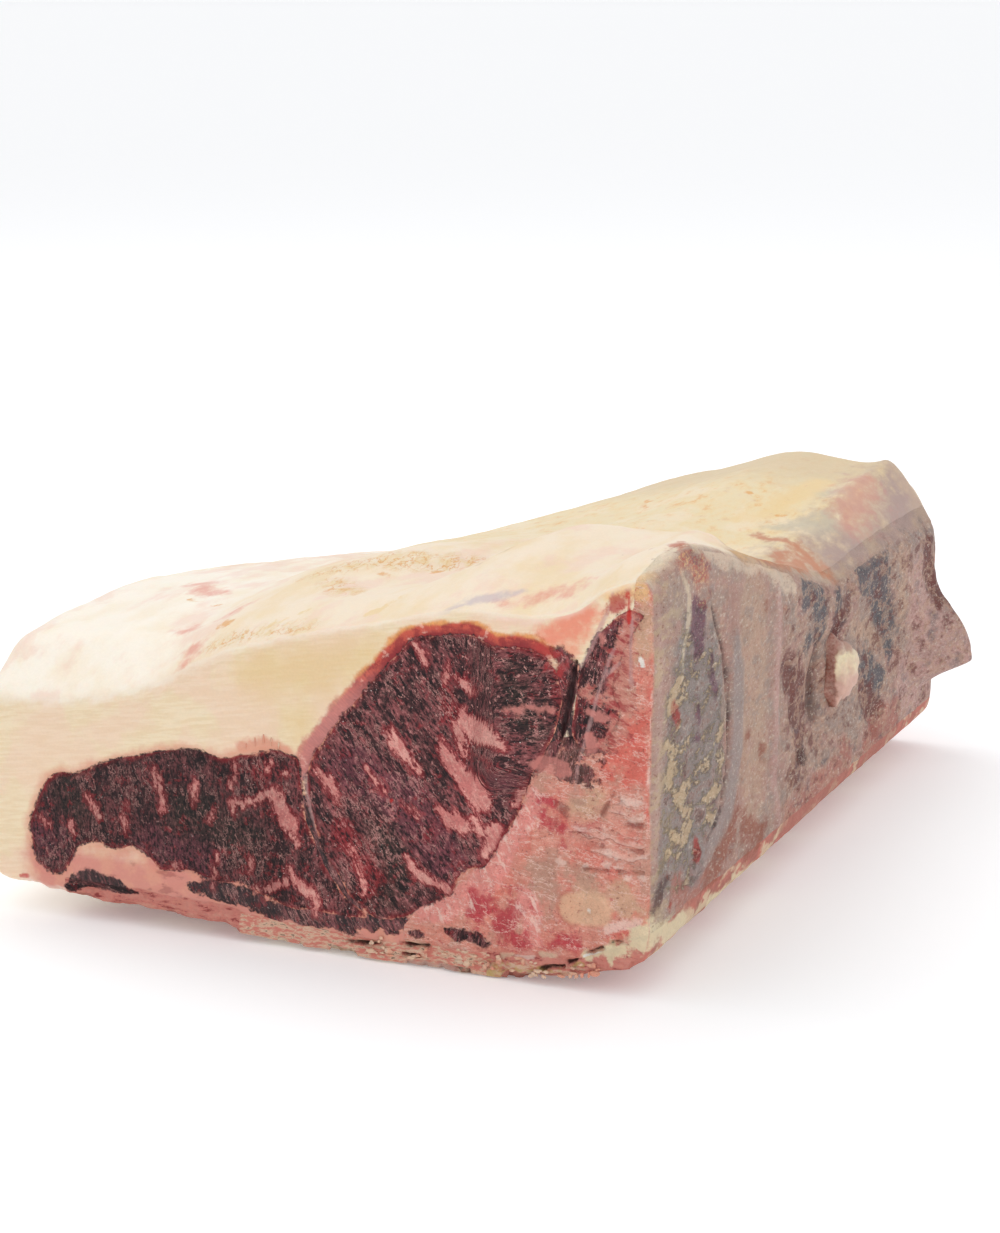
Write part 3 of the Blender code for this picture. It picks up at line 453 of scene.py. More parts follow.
def even_loop(fine, step):
    closed = np.vstack([fine, fine[:1]])
    walked = np.concatenate([[0], np.cumsum(np.linalg.norm(np.diff(closed, axis=0), axis=1))])
    count = max(3, round(walked[-1] / step))
    wanted = np.linspace(0, walked[-1], count, endpoint=False)
    return np.stack([np.interp(wanted, walked, closed[:, k]) for k in range(2)], axis=1)


def smooth_loop(points, step):
    """Points at an even step along a closed smooth curve through the given ones."""
    given = np.array(points, float)
    t = np.linspace(0, 1, 12, endpoint=False)[:, None]
    fine = []
    for i in range(len(given)):
        p0, p1, p2, p3 = (given[(i + k) % len(given)] for k in (-1, 0, 1, 2))
        fine.append(0.5 * (2 * p1 + (p2 - p0) * t + (2 * p0 - 5 * p1 + 4 * p2 - p3) * t ** 2
                           + (3 * p1 - p0 - 3 * p2 + p3) * t ** 3))
    return even_loop(np.concatenate(fine), step)


def lattice_value(cell, seed):
    """A repeatable number from -1 to 1 for each whole-numbered cell."""
    mixed = np.sin(cell @ np.array([127.1, 311.7, 74.7]) + seed * 53.9) * 43758.5453
    return 2 * (mixed - np.floor(mixed)) - 1


def grain(places, size, seed=0, octaves=1):
    """Smooth noise from about -1 to 1 at each place. Its bumps have one size, or one for each axis."""
    total = 0.0
    for octave in range(octaves):
        scaled = places / (np.asarray(size, float) / 2 ** octave) + 17.3 * octave
        cell = np.floor(scaled)
        t = scaled - cell
        t = t * t * (3 - 2 * t)
        value = 0.0
        for corner in np.ndindex(2, 2, 2):
            weight = np.prod(np.where(np.array(corner) == 1, t, 1 - t), axis=1)
            value += weight * lattice_value(cell + corner, seed + octave)
        total += value / 2 ** octave
    return total


class Outline:
    """A closed outline with the signed distance inside it and the way out, read from a fine grid."""

    def __init__(self, loop, cell=0.1, margin=2.0):
        self.cell = cell
        self.low = loop.min(axis=0) - margin
        counts = np.ceil((loop.max(axis=0) + margin - self.low) / cell).astype(int) + 1
        u, v = np.meshgrid(*(self.low[k] + np.arange(counts[k]) * cell for k in range(2)), indexing="ij")
        nearest = np.full(u.shape, np.inf)
        self.walked = np.zeros(u.shape)
        within = np.zeros(u.shape, bool)
        length = 0.0
        for (u0, v0), (u1, v1) in zip(loop, np.roll(loop, -1, axis=0)):
            du, dv = u1 - u0, v1 - v0
            share = np.clip(((u - u0) * du + (v - v0) * dv) / (du * du + dv * dv), 0, 1)
            away = np.hypot(u - u0 - share * du, v - v0 - share * dv)
            closer = away < nearest
            nearest = np.where(closer, away, nearest)
            self.walked = np.where(closer, length + share * math.hypot(du, dv), self.walked)
            if dv:
                within ^= ((v0 > v) != (v1 > v)) & (u < u0 + (v - v0) * du / dv)
            length += math.hypot(du, dv)
        self.inside = np.where(within, nearest, -nearest)
        self.slope_u, self.slope_v = np.gradient(self.inside, cell)

    def read(self, grid, u, v):
        at_u = np.clip((u - self.low[0]) / self.cell, 0, grid.shape[0] - 1.001)
        at_v = np.clip((v - self.low[1]) / self.cell, 0, grid.shape[1] - 1.001)
        i, j = at_u.astype(int), at_v.astype(int)
        s, t = at_u - i, at_v - j
        return ((grid[i, j] * (1 - s) + grid[i + 1, j] * s) * (1 - t)
                + (grid[i, j + 1] * (1 - s) + grid[i + 1, j + 1] * s) * t)

    def depth(self, u, v):
        return self.read(self.inside, u, v)

    def way_out(self, u, v):
        out = -np.stack([self.read(self.slope_u, u, v), self.read(self.slope_v, u, v)])
        return out / np.maximum(np.linalg.norm(out, axis=0), 1e-6)


def within_strands(u, v, strands):
    """How far inside the nearest strand each place lies, in cm."""
    best = np.full(len(u), -9.0)
    for strand in strands:
        ends = strand * 2 if len(strand) == 1 else strand
        for (u0, v0, w0), (u1, v1, w1) in zip(ends, ends[1:]):
            du, dv = u1 - u0, v1 - v0
            share = np.clip(((u - u0) * du + (v - v0) * dv) / max(du * du + dv * dv, 1e-9), 0, 1)
            away = np.hypot(u - u0 - share * du, v - v0 - share * dv)
            best = np.maximum(best, w0 + (w1 - w0) * share - away)
    return best


# ---------------------------------------------------------------- solids
def stations(count, past=0.0):
    """Places along the length, closer together near the front cut."""
    share = np.linspace(0, 1, count)
    places = FRONT + LENGTH * (FIRST_STATION * share + (1 - FIRST_STATION) * share ** 2)
    if past:
        places = np.concatenate([[FRONT - past], places[1:-1], [BACK + past]])
    return places


def linked(name, mesh):
    data = bpy.data.meshes.new(name)
    mesh.to_mesh(data)
    mesh.free()
    obj = bpy.data.objects.new(name, data)
    bpy.context.scene.collection.objects.link(obj)
    return obj


def facing_out(mesh):
    bmesh.ops.recalc_face_normals(mesh, faces=mesh.faces)
    if mesh.calc_volume(signed=True) < 0:
        bmesh.ops.reverse_faces(mesh, faces=mesh.faces)
    return mesh


def prism(name, loop, rungs, cuts):
    """A closed solid whose loop is carried through rungs, which place a loop point at a rung number."""
    mesh = bmesh.new()
    count = len(loop)
    bmesh.ops.create_cone(mesh, cap_ends=True, segments=count, radius1=1, radius2=1, depth=1)
    rails = [e for e in mesh.edges if abs(e.verts[0].co.z - e.verts[1].co.z) > 0.5]
    if cuts > 0:
        bmesh.ops.subdivide_edges(mesh, edges=rails, cuts=cuts, use_grid_fill=True)
    for vertex in mesh.verts:
        turn = round(math.atan2(vertex.co.y, vertex.co.x) / math.tau * count) % count
        vertex.co = rungs(loop[turn], round((vertex.co.z + 0.5) * (cuts + 1)))
    return linked(name, facing_out(mesh))


def run(name, loop, places):
    """A section loop run along the joint, sliced at the places."""
    return prism(name, loop, lambda point, rung: (point[0], places[rung], point[1]), len(places) - 2)


def block(name, low, high, cell):
    """A box round the section whose two ends are fine grids, for the cut faces."""
    mesh = bmesh.new()
    size = Vector(high) - Vector(low)
    bmesh.ops.create_grid(mesh, x_segments=round(size.x / cell), y_segments=round(size.z / cell), size=0.5)
    raised = bmesh.ops.extrude_face_region(mesh, geom=mesh.faces[:])
    far = {g for g in raised["geom"] if isinstance(g, bmesh.types.BMVert)}
    for vertex in mesh.verts:
        x, z = vertex.co.x + 0.5, vertex.co.y + 0.5
        vertex.co = (low[0] + size.x * x, high[1] if vertex in far else low[1], low[2] + size.z * z)
    return linked(name, facing_out(mesh))


def cut(name, body, *steps):
    """A copy of a solid after Boolean steps, each an operation and its cutter."""
    obj = bpy.data.objects.new(name, body.data.copy())
    bpy.context.scene.collection.objects.link(obj)
    for operation, cutter in steps:
        modifier = obj.modifiers.new(operation, "BOOLEAN")
        modifier.operation = operation
        modifier.solver = "MANIFOLD"
        modifier.object = cutter
    graph = bpy.context.evaluated_depsgraph_get()
    made = bpy.data.meshes.new_from_object(obj.evaluated_get(graph))
    obj.modifiers.clear()
    obj.data = made
    if not made.polygons:
        raise RuntimeError(f"{name}: nothing is left after its cuts")
    return obj


def forget(objects):
    for obj in objects:
        bpy.data.objects.remove(obj)


def wavering(loop, amount, size, seed):
    """The loop with its points pushed in and out by noise."""
    along = np.roll(loop, -1, axis=0) - np.roll(loop, 1, axis=0)
    along /= np.linalg.norm(along, axis=1)[:, None]
    out = np.stack([along[:, 1], -along[:, 0]], axis=1)
    places = np.stack([loop[:, 0], 0 * loop[:, 0], loop[:, 1]], axis=1)
    return loop + out * (amount * grain(places, size, seed, octaves=3))[:, None]


OUTER_LOOP = smooth_loop(OUTER, OUTLINE_STEP)
MUSCLE_LOOPS = {
    name: wavering(smooth_loop(points, MUSCLE_STEP), 0.08, 0.8, seed)
    for seed, (name, points) in enumerate(
        {"eye_muscle": EYE, "flank_muscle": FLANK_MUSCLE, "back_muscle": BACK_MUSCLE}.items())
}
OUTER_FIELD = Outline(OUTER_LOOP)
MUSCLE_FIELDS = {name: Outline(loop[::2]) for name, loop in MUSCLE_LOOPS.items()}
FOLD_FIELD = Outline(smooth_loop(NEAR_FOLD, 0.5), cell=0.25, margin=12.0)


def whole_joint():
    """The straight outer shape, with a fine grid on both cut ends."""
    walls = run("walls", OUTER_LOOP, stations(STATIONS, REACH_PAST))
    ends = block("ends", (-15.0, FRONT, -0.5), (15.0, BACK, 16.0), CUT_CELL)
    whole = cut("whole", walls, ("INTERSECT", ends))
    forget([walls, ends])
    return whole


def region(points):
    loop = even_loop(np.array(points, float), 0.3)
    return run("region", loop, stations(HIDDEN_STATIONS, REACH_PAST))


def muscle_cutter(name):
    return run(name + "_cutter", MUSCLE_LOOPS[name], stations(HIDDEN_STATIONS, REACH_PAST))


def sweep(z):
    return SWEEP * (1 - smooth_step(SWEEP_CORNER, SWEEP_START, z))


def vertebra_cutter(number):
    """One split vertebra's outline, in y and z, run through the width of the bones."""
    middle = SECOND_VERTEBRA + (number - 2) * VERTEBRA_PITCH
    heights = np.linspace(-REACH_PAST, BLADE_TOP, 50)
    left = [(middle - VERTEBRA_WIDTH / 2 - sweep(z), z) for z in heights]
    right = [(middle + VERTEBRA_WIDTH / 2 - sweep(z), z) for z in reversed(heights)]
    loop = even_loop(np.array(left + right), 0.25)
    places = np.stack([loop[:, 0], loop[:, 1], 0 * loop[:, 0]], axis=1)
    loop[:, 0] += BONE_WANDER * grain(places, 1.1, seed=9, octaves=2)
    across = np.linspace(2.0, 16.0, 29)
    return prism("vertebra_cutter", loop, lambda point, rung: (across[rung], *point), len(across) - 2)


def finger_cutter(number):
    """One finger bone's outline from below: a blade with a round tip that slants forward."""
    root = FIRST_FINGER + (number - 1) * VERTEBRA_PITCH
    half = FINGER_WIDTH / 2
    turns = np.linspace(0, math.pi, 15)
    tip = [(FINGER_TIP + half * (1 - math.sin(t)), root - FINGER_SLANT + half * math.cos(t)) for t in turns]
    loop = even_loop(np.array([(FINGER_ROOT, root - half), (FINGER_ROOT, root + half)] + tip), 0.25)
    heights = np.linspace(-REACH_PAST, FINGER_TOP, 5)
    return prism("finger_cutter", loop, lambda point, rung: (*point, heights[rung]), len(heights) - 2)


# ---------------------------------------------------------------- bending
def side_relief(y, z):
    hollows = sum(depth * hill(y, cy, ry) * hill(z, cz, rz) for depth, (cy, cz, ry, rz) in SIDE_HOLLOWS)
    flap_height = smooth_step(FLAP_LOW - FLAP_RISE, FLAP_LOW, z) * (1 - smooth_step(FLAP_LOW, FLAP_HIGH, z))
    return FLAP_REACH * smooth_step(BACK - FLAP_LENGTH, BACK, y) * flap_height - hollows


def fold_height(x, y):
    """The near fold swells a little at its far edge and drops in a step behind it."""
    ahead = FOLD_FIELD.depth(x, y)
    reach = smooth_step(-17.0, -9.0, y) * (1 - smooth_step(11.8, 13.2, x))
    behind = smooth_step(0.0, 2.2, -ahead) * (1 - smooth_step(3.0, 8.0, -ahead))
    return reach * (0.1 * hill(ahead, 0.9, 1.0) - relief().fold_drop * behind)


def bent(points):
    """Where points of the straight section run lie in the real joint, in centimetres."""
    x, y, z = points.T
    share = (y - FRONT) / LENGTH
    floor = smooth_through(PLACES, BOTTOM_SECTION, x)
    front_top = smooth_through(PLACES, TOP_HEIGHTS[0.00], x)
    level = (z - floor) / (front_top - floor)
    level = np.where((level < FLAT_LEVEL) & (x > FLAT_FROM) & (x < FLAT_TO), 0.0, level)
    cuts = sorted(TOP_HEIGHTS)
    tops = smooth_through(cuts, [smooth_through(PLACES, TOP_HEIGHTS[c], x) for c in cuts], share)
    tops = tops + fold_height(x, y)
    low_front = smooth_through(PLACES, BOTTOM_FRONT, x)
    low_rest = smooth_through(PLACES, BOTTOM_REST, x)
    low = low_front + (low_rest - low_front) * smooth_step(0.0, 0.12, share)
    height = low + level * (tops - low)
    width = 1 + (BACK_WIDTH - 1) * smooth_step(0.5, 1.0, share)
    across = CHINE - (CHINE - x) * width
    across = across + side_relief(y, height) * smooth_step(CHINE - SIDE_DEPTH, CHINE, x)
    return np.stack([across, y, height], axis=1)


def points_of(obj):
    flat = np.empty(len(obj.data.vertices) * 3, np.float32)
    obj.data.vertices.foreach_get("co", flat)
    return flat.reshape(-1, 3).astype(float)


class Spots:
    """The vertices of a piece, straight and bent, and how far each lies from the faces that show."""

    def __init__(self, straight):
        self.straight = straight
        x, y, z = straight.T
        self.real = bent(straight)
        self.from_front = np.maximum(y - FRONT, 0.0)
        self.from_back = np.maximum(BACK - y, 0.0)
        self.depth = np.maximum(OUTER_FIELD.depth(x, z), 0.0)
        self.out_x, self.out_z = OUTER_FIELD.way_out(x, z)
        self.on_front = self.from_front < ON_FACE
        self.on_side = (self.depth < ON_FACE) & (self.out_x > 0.6)
        self.on_top = (self.depth < ON_FACE) & (self.out_z > 0.3)
        self.muscle = {name: field.depth(x, z) for name, field in MUSCLE_FIELDS.items()}

    def mark(self, name):
        """How far inside a named mark each vertex lies, in cm. It counts as outside off the mark's face."""
        x, y, z = self.real.T
        faces = ((FRONT_MARKS, self.on_front, x, z), (SIDE_MARKS, self.on_side, y, z),
                 (TOP_MARKS, self.on_top, x, y))
        for marks, on_face, u, v in faces:
            if name in marks:
                field = np.full(len(x), -1.0)
                field[on_face] = within_strands(u[on_face], v[on_face], marks[name])
                return np.clip(field, -1.0, 1.0)
        raise KeyError(name)

    def sunk(self, grooves):
        """How deep the marks of a list of (mark, depth, outer level, inner level) lie at each vertex."""
        return sum(depth * smooth_step(low, high, self.mark(name)) for name, depth, low, high in grooves)


# ---------------------------------------------------------------- relief
def rounded(spots):
    """How far the edges of both cut faces are turned down: (inward, forward) for each vertex."""
    sizes = relief()
    x = spots.straight[:, 0]
    top = smooth_step(0.2, 0.8, spots.out_z)
    left = sizes.edge_round + (sizes.chine_round - sizes.edge_round) * smooth_step(-9.0, 3.0, x)
    radius = sizes.chine_round + (left - sizes.chine_round) * top
    radius = radius * (1 - 0.5 * smooth_step(0.3, 0.8, -spots.out_z))
    inward, forward = 0.0, 0.0
    for from_end, way in ((spots.from_front, 1.0), (spots.from_back, -1.0)):
        a = np.maximum(radius - spots.depth, 0.0)
        b = np.maximum(radius - from_end, 0.0)
        inward = inward + a - a * np.sqrt(1 - b * b / (2 * radius * radius))
        forward = forward + way * (b - b * np.sqrt(1 - a * a / (2 * radius * radius)))
    return inward, forward


def terrace(spots):
    """Counts the thin ledges that the saw peeled out of the bone, from the base up."""
    x, _, z = spots.real.T
    return (z + 0.4 * grain(np.stack([x, 0 * x, z], axis=1), 1.1, seed=7, octaves=3)) / LEDGE_PITCH


def cut_relief(spots):
    """How deep the sawn and cut surface lies under its plane, in cm."""
    sizes = relief()
    x, _, z = spots.real.T
    flat = np.stack([x, 0 * x, z], axis=1)
    in_muscle = np.max(list(spots.muscle.values()), axis=0)
    seam = np.min(np.abs(list(spots.muscle.values())), axis=0)
    lean = smooth_step(-0.05, 0.1, in_muscle)
    depth = 0.11 + 0.04 * grain(flat, 2.4, seed=3, octaves=2)
    depth += lean * sizes.fibre_depth * (1.2 * grain(flat, (0.5, 1, 0.3), seed=5, octaves=2) + 1.0)
    depth += 0.05 * hill(seam, 0.0, 0.12) * (1 + grain(flat, 0.6, seed=12, octaves=2))
    depth += spots.sunk(CUT_GROOVES)
    bone = smooth_step(9.6, 10.8, x + 0.35 * (z - 6)) * (1 - lean) * (z > 1.4)
    steps = smooth_step(-0.3, 0.3, spots.mark("peeled"))
    saw = 0.3 * grain(flat, (1.0, 1, 0.18), seed=8) + steps * (terrace(spots) % 1.0 - 0.4) * 0.7
    depth += bone * sizes.saw_depth * saw
    crags = 1 - smooth_step(0.9, 1.7, z - 0.5 * smooth_step(8.0, 12.0, x))
    depth += crags * sizes.crag_depth * (0.7 + 0.8 * grain(flat, 0.55, seed=11, octaves=3))
    return np.maximum(depth, 0.0)


def in_rib(spots):
    """How far inside the nearest finger bone's outline each vertex lies, seen from below."""
    half = FINGER_WIDTH / 2
    roots = [FIRST_FINGER + k * VERTEBRA_PITCH for k in range(FINGERS)]
    blades = [[(FINGER_TIP + half, root - FINGER_SLANT, half), (FINGER_ROOT, root, half)] for root in roots]
    return np.clip(within_strands(spots.straight[:, 0], spots.straight[:, 1], blades), -1.0, 1.0)


def skin_relief(spots):
    """How deep the outside lies under its plane, in cm."""
    sizes = relief()
    x, y, z = spots.real.T
    top = smooth_step(0.1, 0.6, spots.out_z)
    side = smooth_step(0.4, 0.8, spots.out_x)
    depth = 0.04 + 0.04 * grain(spots.real, 2.6, seed=21, octaves=2)
    rough = smooth_step(-0.6, 0.6, spots.mark("trimmed"))
    depth += top * 0.02 * grain(spots.real, 0.7, seed=22, octaves=2)
    depth += top * rough * sizes.trim_depth * grain(spots.real, 0.9, seed=23, octaves=3)
    crest = hill(x, CHINE, 1.0) * top
    depth += crest * 0.05 * (1 + grain(spots.real, 0.8, seed=24, octaves=2))
    depth += side * 0.05 * (1 + grain(spots.real, (1, 0.7, 3.0), seed=25, octaves=3))
    lumpy = 0.6 + grain(spots.real, 0.9, seed=26, octaves=2)
    flesh = smooth_step(-0.5, 0.5, spots.mark("maroon")) * lumpy
    depth += side * (spots.sunk(SIDE_GROOVES) + 0.12 * flesh)
    under = smooth_step(0.3, 0.8, -spots.out_z)
    between_ribs = 1 - smooth_step(-0.2, 0.1, in_rib(spots))
    below = 0.04 + sizes.rib_rise * between_ribs * (1 + 0.5 * grain(spots.real, 1.0, seed=27, octaves=3))
    broken = np.maximum(grain(spots.real, 0.7, seed=28, octaves=3) + 0.1, 0.0)
    below += sizes.crag_depth * 1.6 * broken * (1 - smooth_step(0.1, 0.8, spots.from_front))
    depth = depth * (1 - under) + under * below
    return np.maximum(depth, 0.0)


def finished_place(spots):
    """Where each vertex ends up, in metres in the frame: rounded edges, relief, then the bend."""
    inward, forward = rounded(spots)
    near_skin = 1 - smooth_step(0.0, 1.4, spots.depth)
    inward = inward + skin_relief(spots) * near_skin
    cut_depth = cut_relief(spots)
    near_front = 1 - smooth_step(0.0, 1.0, spots.from_front)
    near_back = 1 - smooth_step(0.0, 1.0, spots.from_back)
    moved = spots.straight.copy()
    moved[:, 0] -= inward * spots.out_x
    moved[:, 2] -= inward * spots.out_z
    moved[:, 1] += forward + cut_depth * (near_front - near_back)
    place = bent(moved) * CM
    place[:, 0] += SECTION_TO_FRAME
    low, high = (np.array(corner) for corner in CAD_BOX)
    return np.clip(place, low, high)


# ---------------------------------------------------------------- surfaces
def _sum(operation, swapped=False, alone=False):
    """One arithmetic operation between a Number and another value, as a method of Number."""
    def apply(self, other=None):
        values = [self] if alone else [other, self] if swapped else [self, other]
        return self.recipe.number("ShaderNodeMath", {"operation": operation}, dict(enumerate(values)))
    return apply


class Number:
    """A number that changes over a surface, written in sums like any other."""

    def __init__(self, recipe, socket):
        self.recipe = recipe
        self.socket = socket

    __add__ = __radd__ = _sum("ADD")
    __sub__ = _sum("SUBTRACT")
    __rsub__ = _sum("SUBTRACT", swapped=True)
    __mul__ = __rmul__ = _sum("MULTIPLY")
    __truediv__ = _sum("DIVIDE")
    __rtruediv__ = _sum("DIVIDE", swapped=True)
    most = _sum("MAXIMUM")
    size = _sum("ABSOLUTE", alone=True)
    part = _sum("FRACT", alone=True)

    def rise(self, low, high):
        """0 below low, 1 above high, and smooth between. It falls where high is the lower one."""
        ends = {"From Min": low, "From Max": high, "To Min": 0, "To Max": 1}
        if low > high:
            ends = {"From Min": high, "From Max": low, "To Min": 1, "To Max": 0}
        settings = {"interpolation_type": "SMOOTHSTEP", "clamp": True}
        return self.recipe.number("ShaderNodeMapRange", settings, {"Value": self, **ends})


class Recipe:
    """A material's node tree and the few kinds of node that the joint's surfaces are made of."""

    def __init__(self, name, **constants):
        self.material = bpy.data.materials.new(name)
        self.material.use_nodes = True
        self.tree = self.material.node_tree
        self.shader = self.tree.nodes["Principled BSDF"]
        for socket, value in constants.items():
            self.shader.inputs[socket.replace("_", " ")].default_value = value
        self.place = self.node("ShaderNodeTexCoord").outputs["Object"]
        self.fields = {}
        self.torn = (self.grain(0.6, (1, 2, 1), detail=5.0, roughness=0.62) - 0.5) * 4

    def node(self, kind, settings=None, inputs=None):
        made = self.tree.nodes.new(kind)
        for key, value in (settings or {}).items():
            setattr(made, key, value)
        for key, value in (inputs or {}).items():
            self.feed(made.inputs[key], value)
        return made

    def feed(self, socket, value):
        if isinstance(value, Number):
            self.tree.links.new(value.socket, socket)
        elif isinstance(value, bpy.types.NodeSocket):
            self.tree.links.new(value, socket)
        else:
            socket.default_value = value

    def number(self, kind, settings, inputs):
        return Number(self, self.node(kind, settings, inputs).outputs[0])

    def field(self, name):
        """A number kept on the piece's vertices."""
        if name not in self.fields:
            made = self.node("ShaderNodeAttribute", {"attribute_name": name})
            self.fields[name] = Number(self, made.outputs["Fac"])
        return self.fields[name]

    def lay(self, stretch=(1, 1, 1), turn=0.0, shift=0.0):
        """Places in cm, drawn out by axis and turned in the plane of the cut."""
        inputs = {"Vector": self.place, "Location": (shift, shift, shift),
                  "Rotation": (0, math.radians(turn), 0), "Scale": tuple(CM * s for s in stretch)}
        return self.node("ShaderNodeMapping", {"vector_type": "TEXTURE"}, inputs).outputs[0]

    def grain(self, size, stretch=(1, 1, 1), turn=0.0, detail=2.0, roughness=0.55, shift=0.0, place=None):
        """Noise from 0 to 1 with grains of about this size in cm."""
        inputs = {"Vector": place or self.lay(stretch, turn, shift), "Scale": 1 / size, "Detail": detail,
                  "Roughness": roughness}
        return self.number("ShaderNodeTexNoise", None, inputs)

    def edge(self, name, torn):
        """A field whose level lines are torn by about this much, in cm."""
        return self.field(name) + self.torn * torn

    def mark(self, name, soft, torn):
        """1 inside a mark and 0 outside, with a torn edge."""
        return self.edge(name, torn).rise(-soft, soft)

    def blend(self, under, over, amount):
        """Lays one colour over another. A name stands for a tone of the settings."""
        under, over = (tone(colour) if isinstance(colour, str) else colour for colour in (under, over))
        return self.node("ShaderNodeMix", {"data_type": "RGBA"}, {0: amount, 6: under, 7: over}).outputs[2]

    def shade(self, colour, factor):
        inputs = {0: colour, "Scale": factor}
        return self.node("ShaderNodeVectorMath", {"operation": "SCALE"}, inputs).outputs[0]

    def painted(self, colour, coats):
        """Lays coats on in turn, each (tone, how much) or (mark, tone, softness, how torn, strength)."""
        for coat in coats:
            if len(coat) == 5:
                name, over, soft, torn, strength = coat
                coat = (over, self.mark(name, soft, torn) * strength)
            colour = self.blend(colour, *coat)
        return colour

    def finish(self, colour, roughness, height):
        """Height is in cm."""
        bump = self.node("ShaderNodeBump", None, {"Height": height, "Distance": CM, "Strength": 1.0})
        self.feed(self.shader.inputs["Base Color"], colour)
        self.feed(self.shader.inputs["Roughness"], roughness)
        self.feed(self.shader.inputs["Normal"], bump.outputs[0])
        return self


FAT_LIGHT = {"Subsurface_Weight": 0.2, "Subsurface_Radius": (1.0, 0.55, 0.35), "Subsurface_Scale": 0.003,
             "Specular_IOR_Level": 0.4}
LEAN_LIGHT = {"Specular_IOR_Level": 0.22}
DRY_LIGHT = {"Specular_IOR_Level": 0.25, "Subsurface_Weight": 0.1, "Subsurface_Radius": (1.0, 0.5, 0.35),
             "Subsurface_Scale": 0.002}


def lean_look(r, lay):
    """Dried lean in the plane of the cut, with its fibres, threads and flecks. Gives (colour, height)."""
    body = r.grain(0.45, detail=6.0, roughness=0.7, place=lay)
    fine = r.grain(0.14, detail=5.0, roughness=0.75, place=lay)
    hazes = r.grain(0.3, detail=6.0, roughness=0.75, place=lay)
    grit = r.grain(0.09, detail=3.0, roughness=0.65, place=lay)
    bundles = r.grain(0.8, detail=4.0, roughness=0.6, place=lay)
    speckle = r.grain(0.06, detail=1.5)
    clouds = r.grain(1.3, detail=5.0, roughness=0.6)
    reds = r.grain(0.4, detail=6.0, roughness=0.7, shift=1.7)
    glint_streaks = r.grain(0.15, (1.6, 1, 1), 50.0, detail=3.0, roughness=0.7, shift=4.2).rise(0.6, 0.67)
    west = r.field("across").rise(1.2, -1.0)
    upper = r.edge("height", 0.6).rise(8.0, 10.5)
    small = (fine + grit) * 0.5
    threads = (body + hazes * 0.3 - 0.65).size().rise(0.02, 0.004) * clouds.rise(0.46, 0.58)
    near_fleck = r.field("fleck") + (hazes - 0.5) * 1.1 + (small - 0.5) * 0.6
    fleck_tone = r.painted("fleck_pink", [
        ("fleck", (fine + clouds - 1.0).rise(-0.12, 0.14)),
        ("fleck_pink", near_fleck.rise(0.14, 0.02)),
    ])
    colour = r.painted("lean_dark", [
        ("lean", (body - 0.06 * west - 0.04 * upper).rise(0.42, 0.58)),
        ("weathered", "weathered_lean", 0.5, 0.6, 0.75),
        ("purple_flesh", "lean_purple", 0.5, 0.6, 0.7),
        ("red_flesh", "lean_red", 0.3, 0.5, 0.8),
        ("lean_red", reds.rise(0.54, 0.64) * 0.75),
        ("lean_haze", hazes.rise(0.52, 0.68) * (0.65 - 0.3 * west)),
        ("lean_black", small.rise(0.51, 0.44) * 0.9),
        # Painted highlight: the fibres that catch the light are painted paler.
        ("lean_mauve", small.rise(0.54, 0.63) * (0.75 - 0.3 * west)),
        ("thread_fat", threads * 0.7),
        ("lean_red", near_fleck.rise(-0.2, -0.03) * 0.6),
        (fleck_tone, near_fleck.rise(-0.02, 0.06) * 0.92),
        # Painted glints: the brightest specks of a fine noise are painted white.
        ("chalk", speckle.rise(0.73, 0.78) * 0.6),
        # Painted glints: pale streaks, more of them in the upper part, stand in for wet sparkle.
        ("thread_fat", glint_streaks * (0.55 + 0.35 * upper - 0.2 * west)),
    ])
    height = 0.06 * small + 0.06 * body + 0.02 * speckle
    # The fine speckle lightens and darkens the lean in tiny spots, partly painted wet glints.
    return r.shade(colour, 0.2 + 0.8 * speckle + 0.85 * bundles - 0.24 * west), height


def at_lean(r):
    """1 over lean and 0 off it, where the cut's torn edge runs, whichever piece it falls on."""
    frayed = (r.grain(0.14, detail=3.0, shift=1.6) - 0.5) * 0.35
    return (r.edge("inside", 0.12) + frayed).rise(-0.06, 0.04)


def seam_look(r):
    """The thin pink sinew that wraps each muscle."""
    reds = r.grain(0.5, detail=3.0, shift=0.3)
    return r.blend("pink_fat", "lean_red", reds.rise(0.42, 0.6) * 0.8)


def veiled(r, colour):
    """The torn skin over the back muscle, broken into streaks."""
    streaks = r.grain(0.22, (2.5, 1, 1), 20.0, detail=6.0, roughness=0.7, shift=2.1)
    skin = r.painted("veil", [
        ("veil_red", streaks.rise(0.46, 0.6)),
        ("saw_edge", streaks.rise(0.44, 0.34) * 0.7),
    ])
    edge = r.field("veil") + (streaks - 0.5) * 1.6 + r.torn * 0.4
    return r.blend(colour, skin, edge.rise(-0.1, 0.15) * 0.85)


CUT_COATS = [
    ("sinew", "sinew", 0.05, 0.05, 0.6),
    ("red_root", "root_red", 0.2, 0.4, 0.8),
    # Painted shade: the deep cleft beside the eye is painted near black.
    ("cleft", "cleft_dark", 0.08, 0.05, 0.95),
    ("smear", "smeared_fat", 0.1, 0.3, 0.75),
    ("scarlet", "scarlet", 0.05, 0.08, 0.85),
    ("chalk", "chalk", 0.03, 0.1, 0.9),
]
FAT_COATS = [
    ("rose_front", "rose_fat", 0.4, 0.4, 0.8),
    ("coral_fat", "coral_fat", 0.4, 0.4, 0.9),
    ("orange_fat", "orange_fat", 0.3, 0.4, 0.85),
    ("wedge", "pink_bone", 0.12, 0.3, 0.85),
]


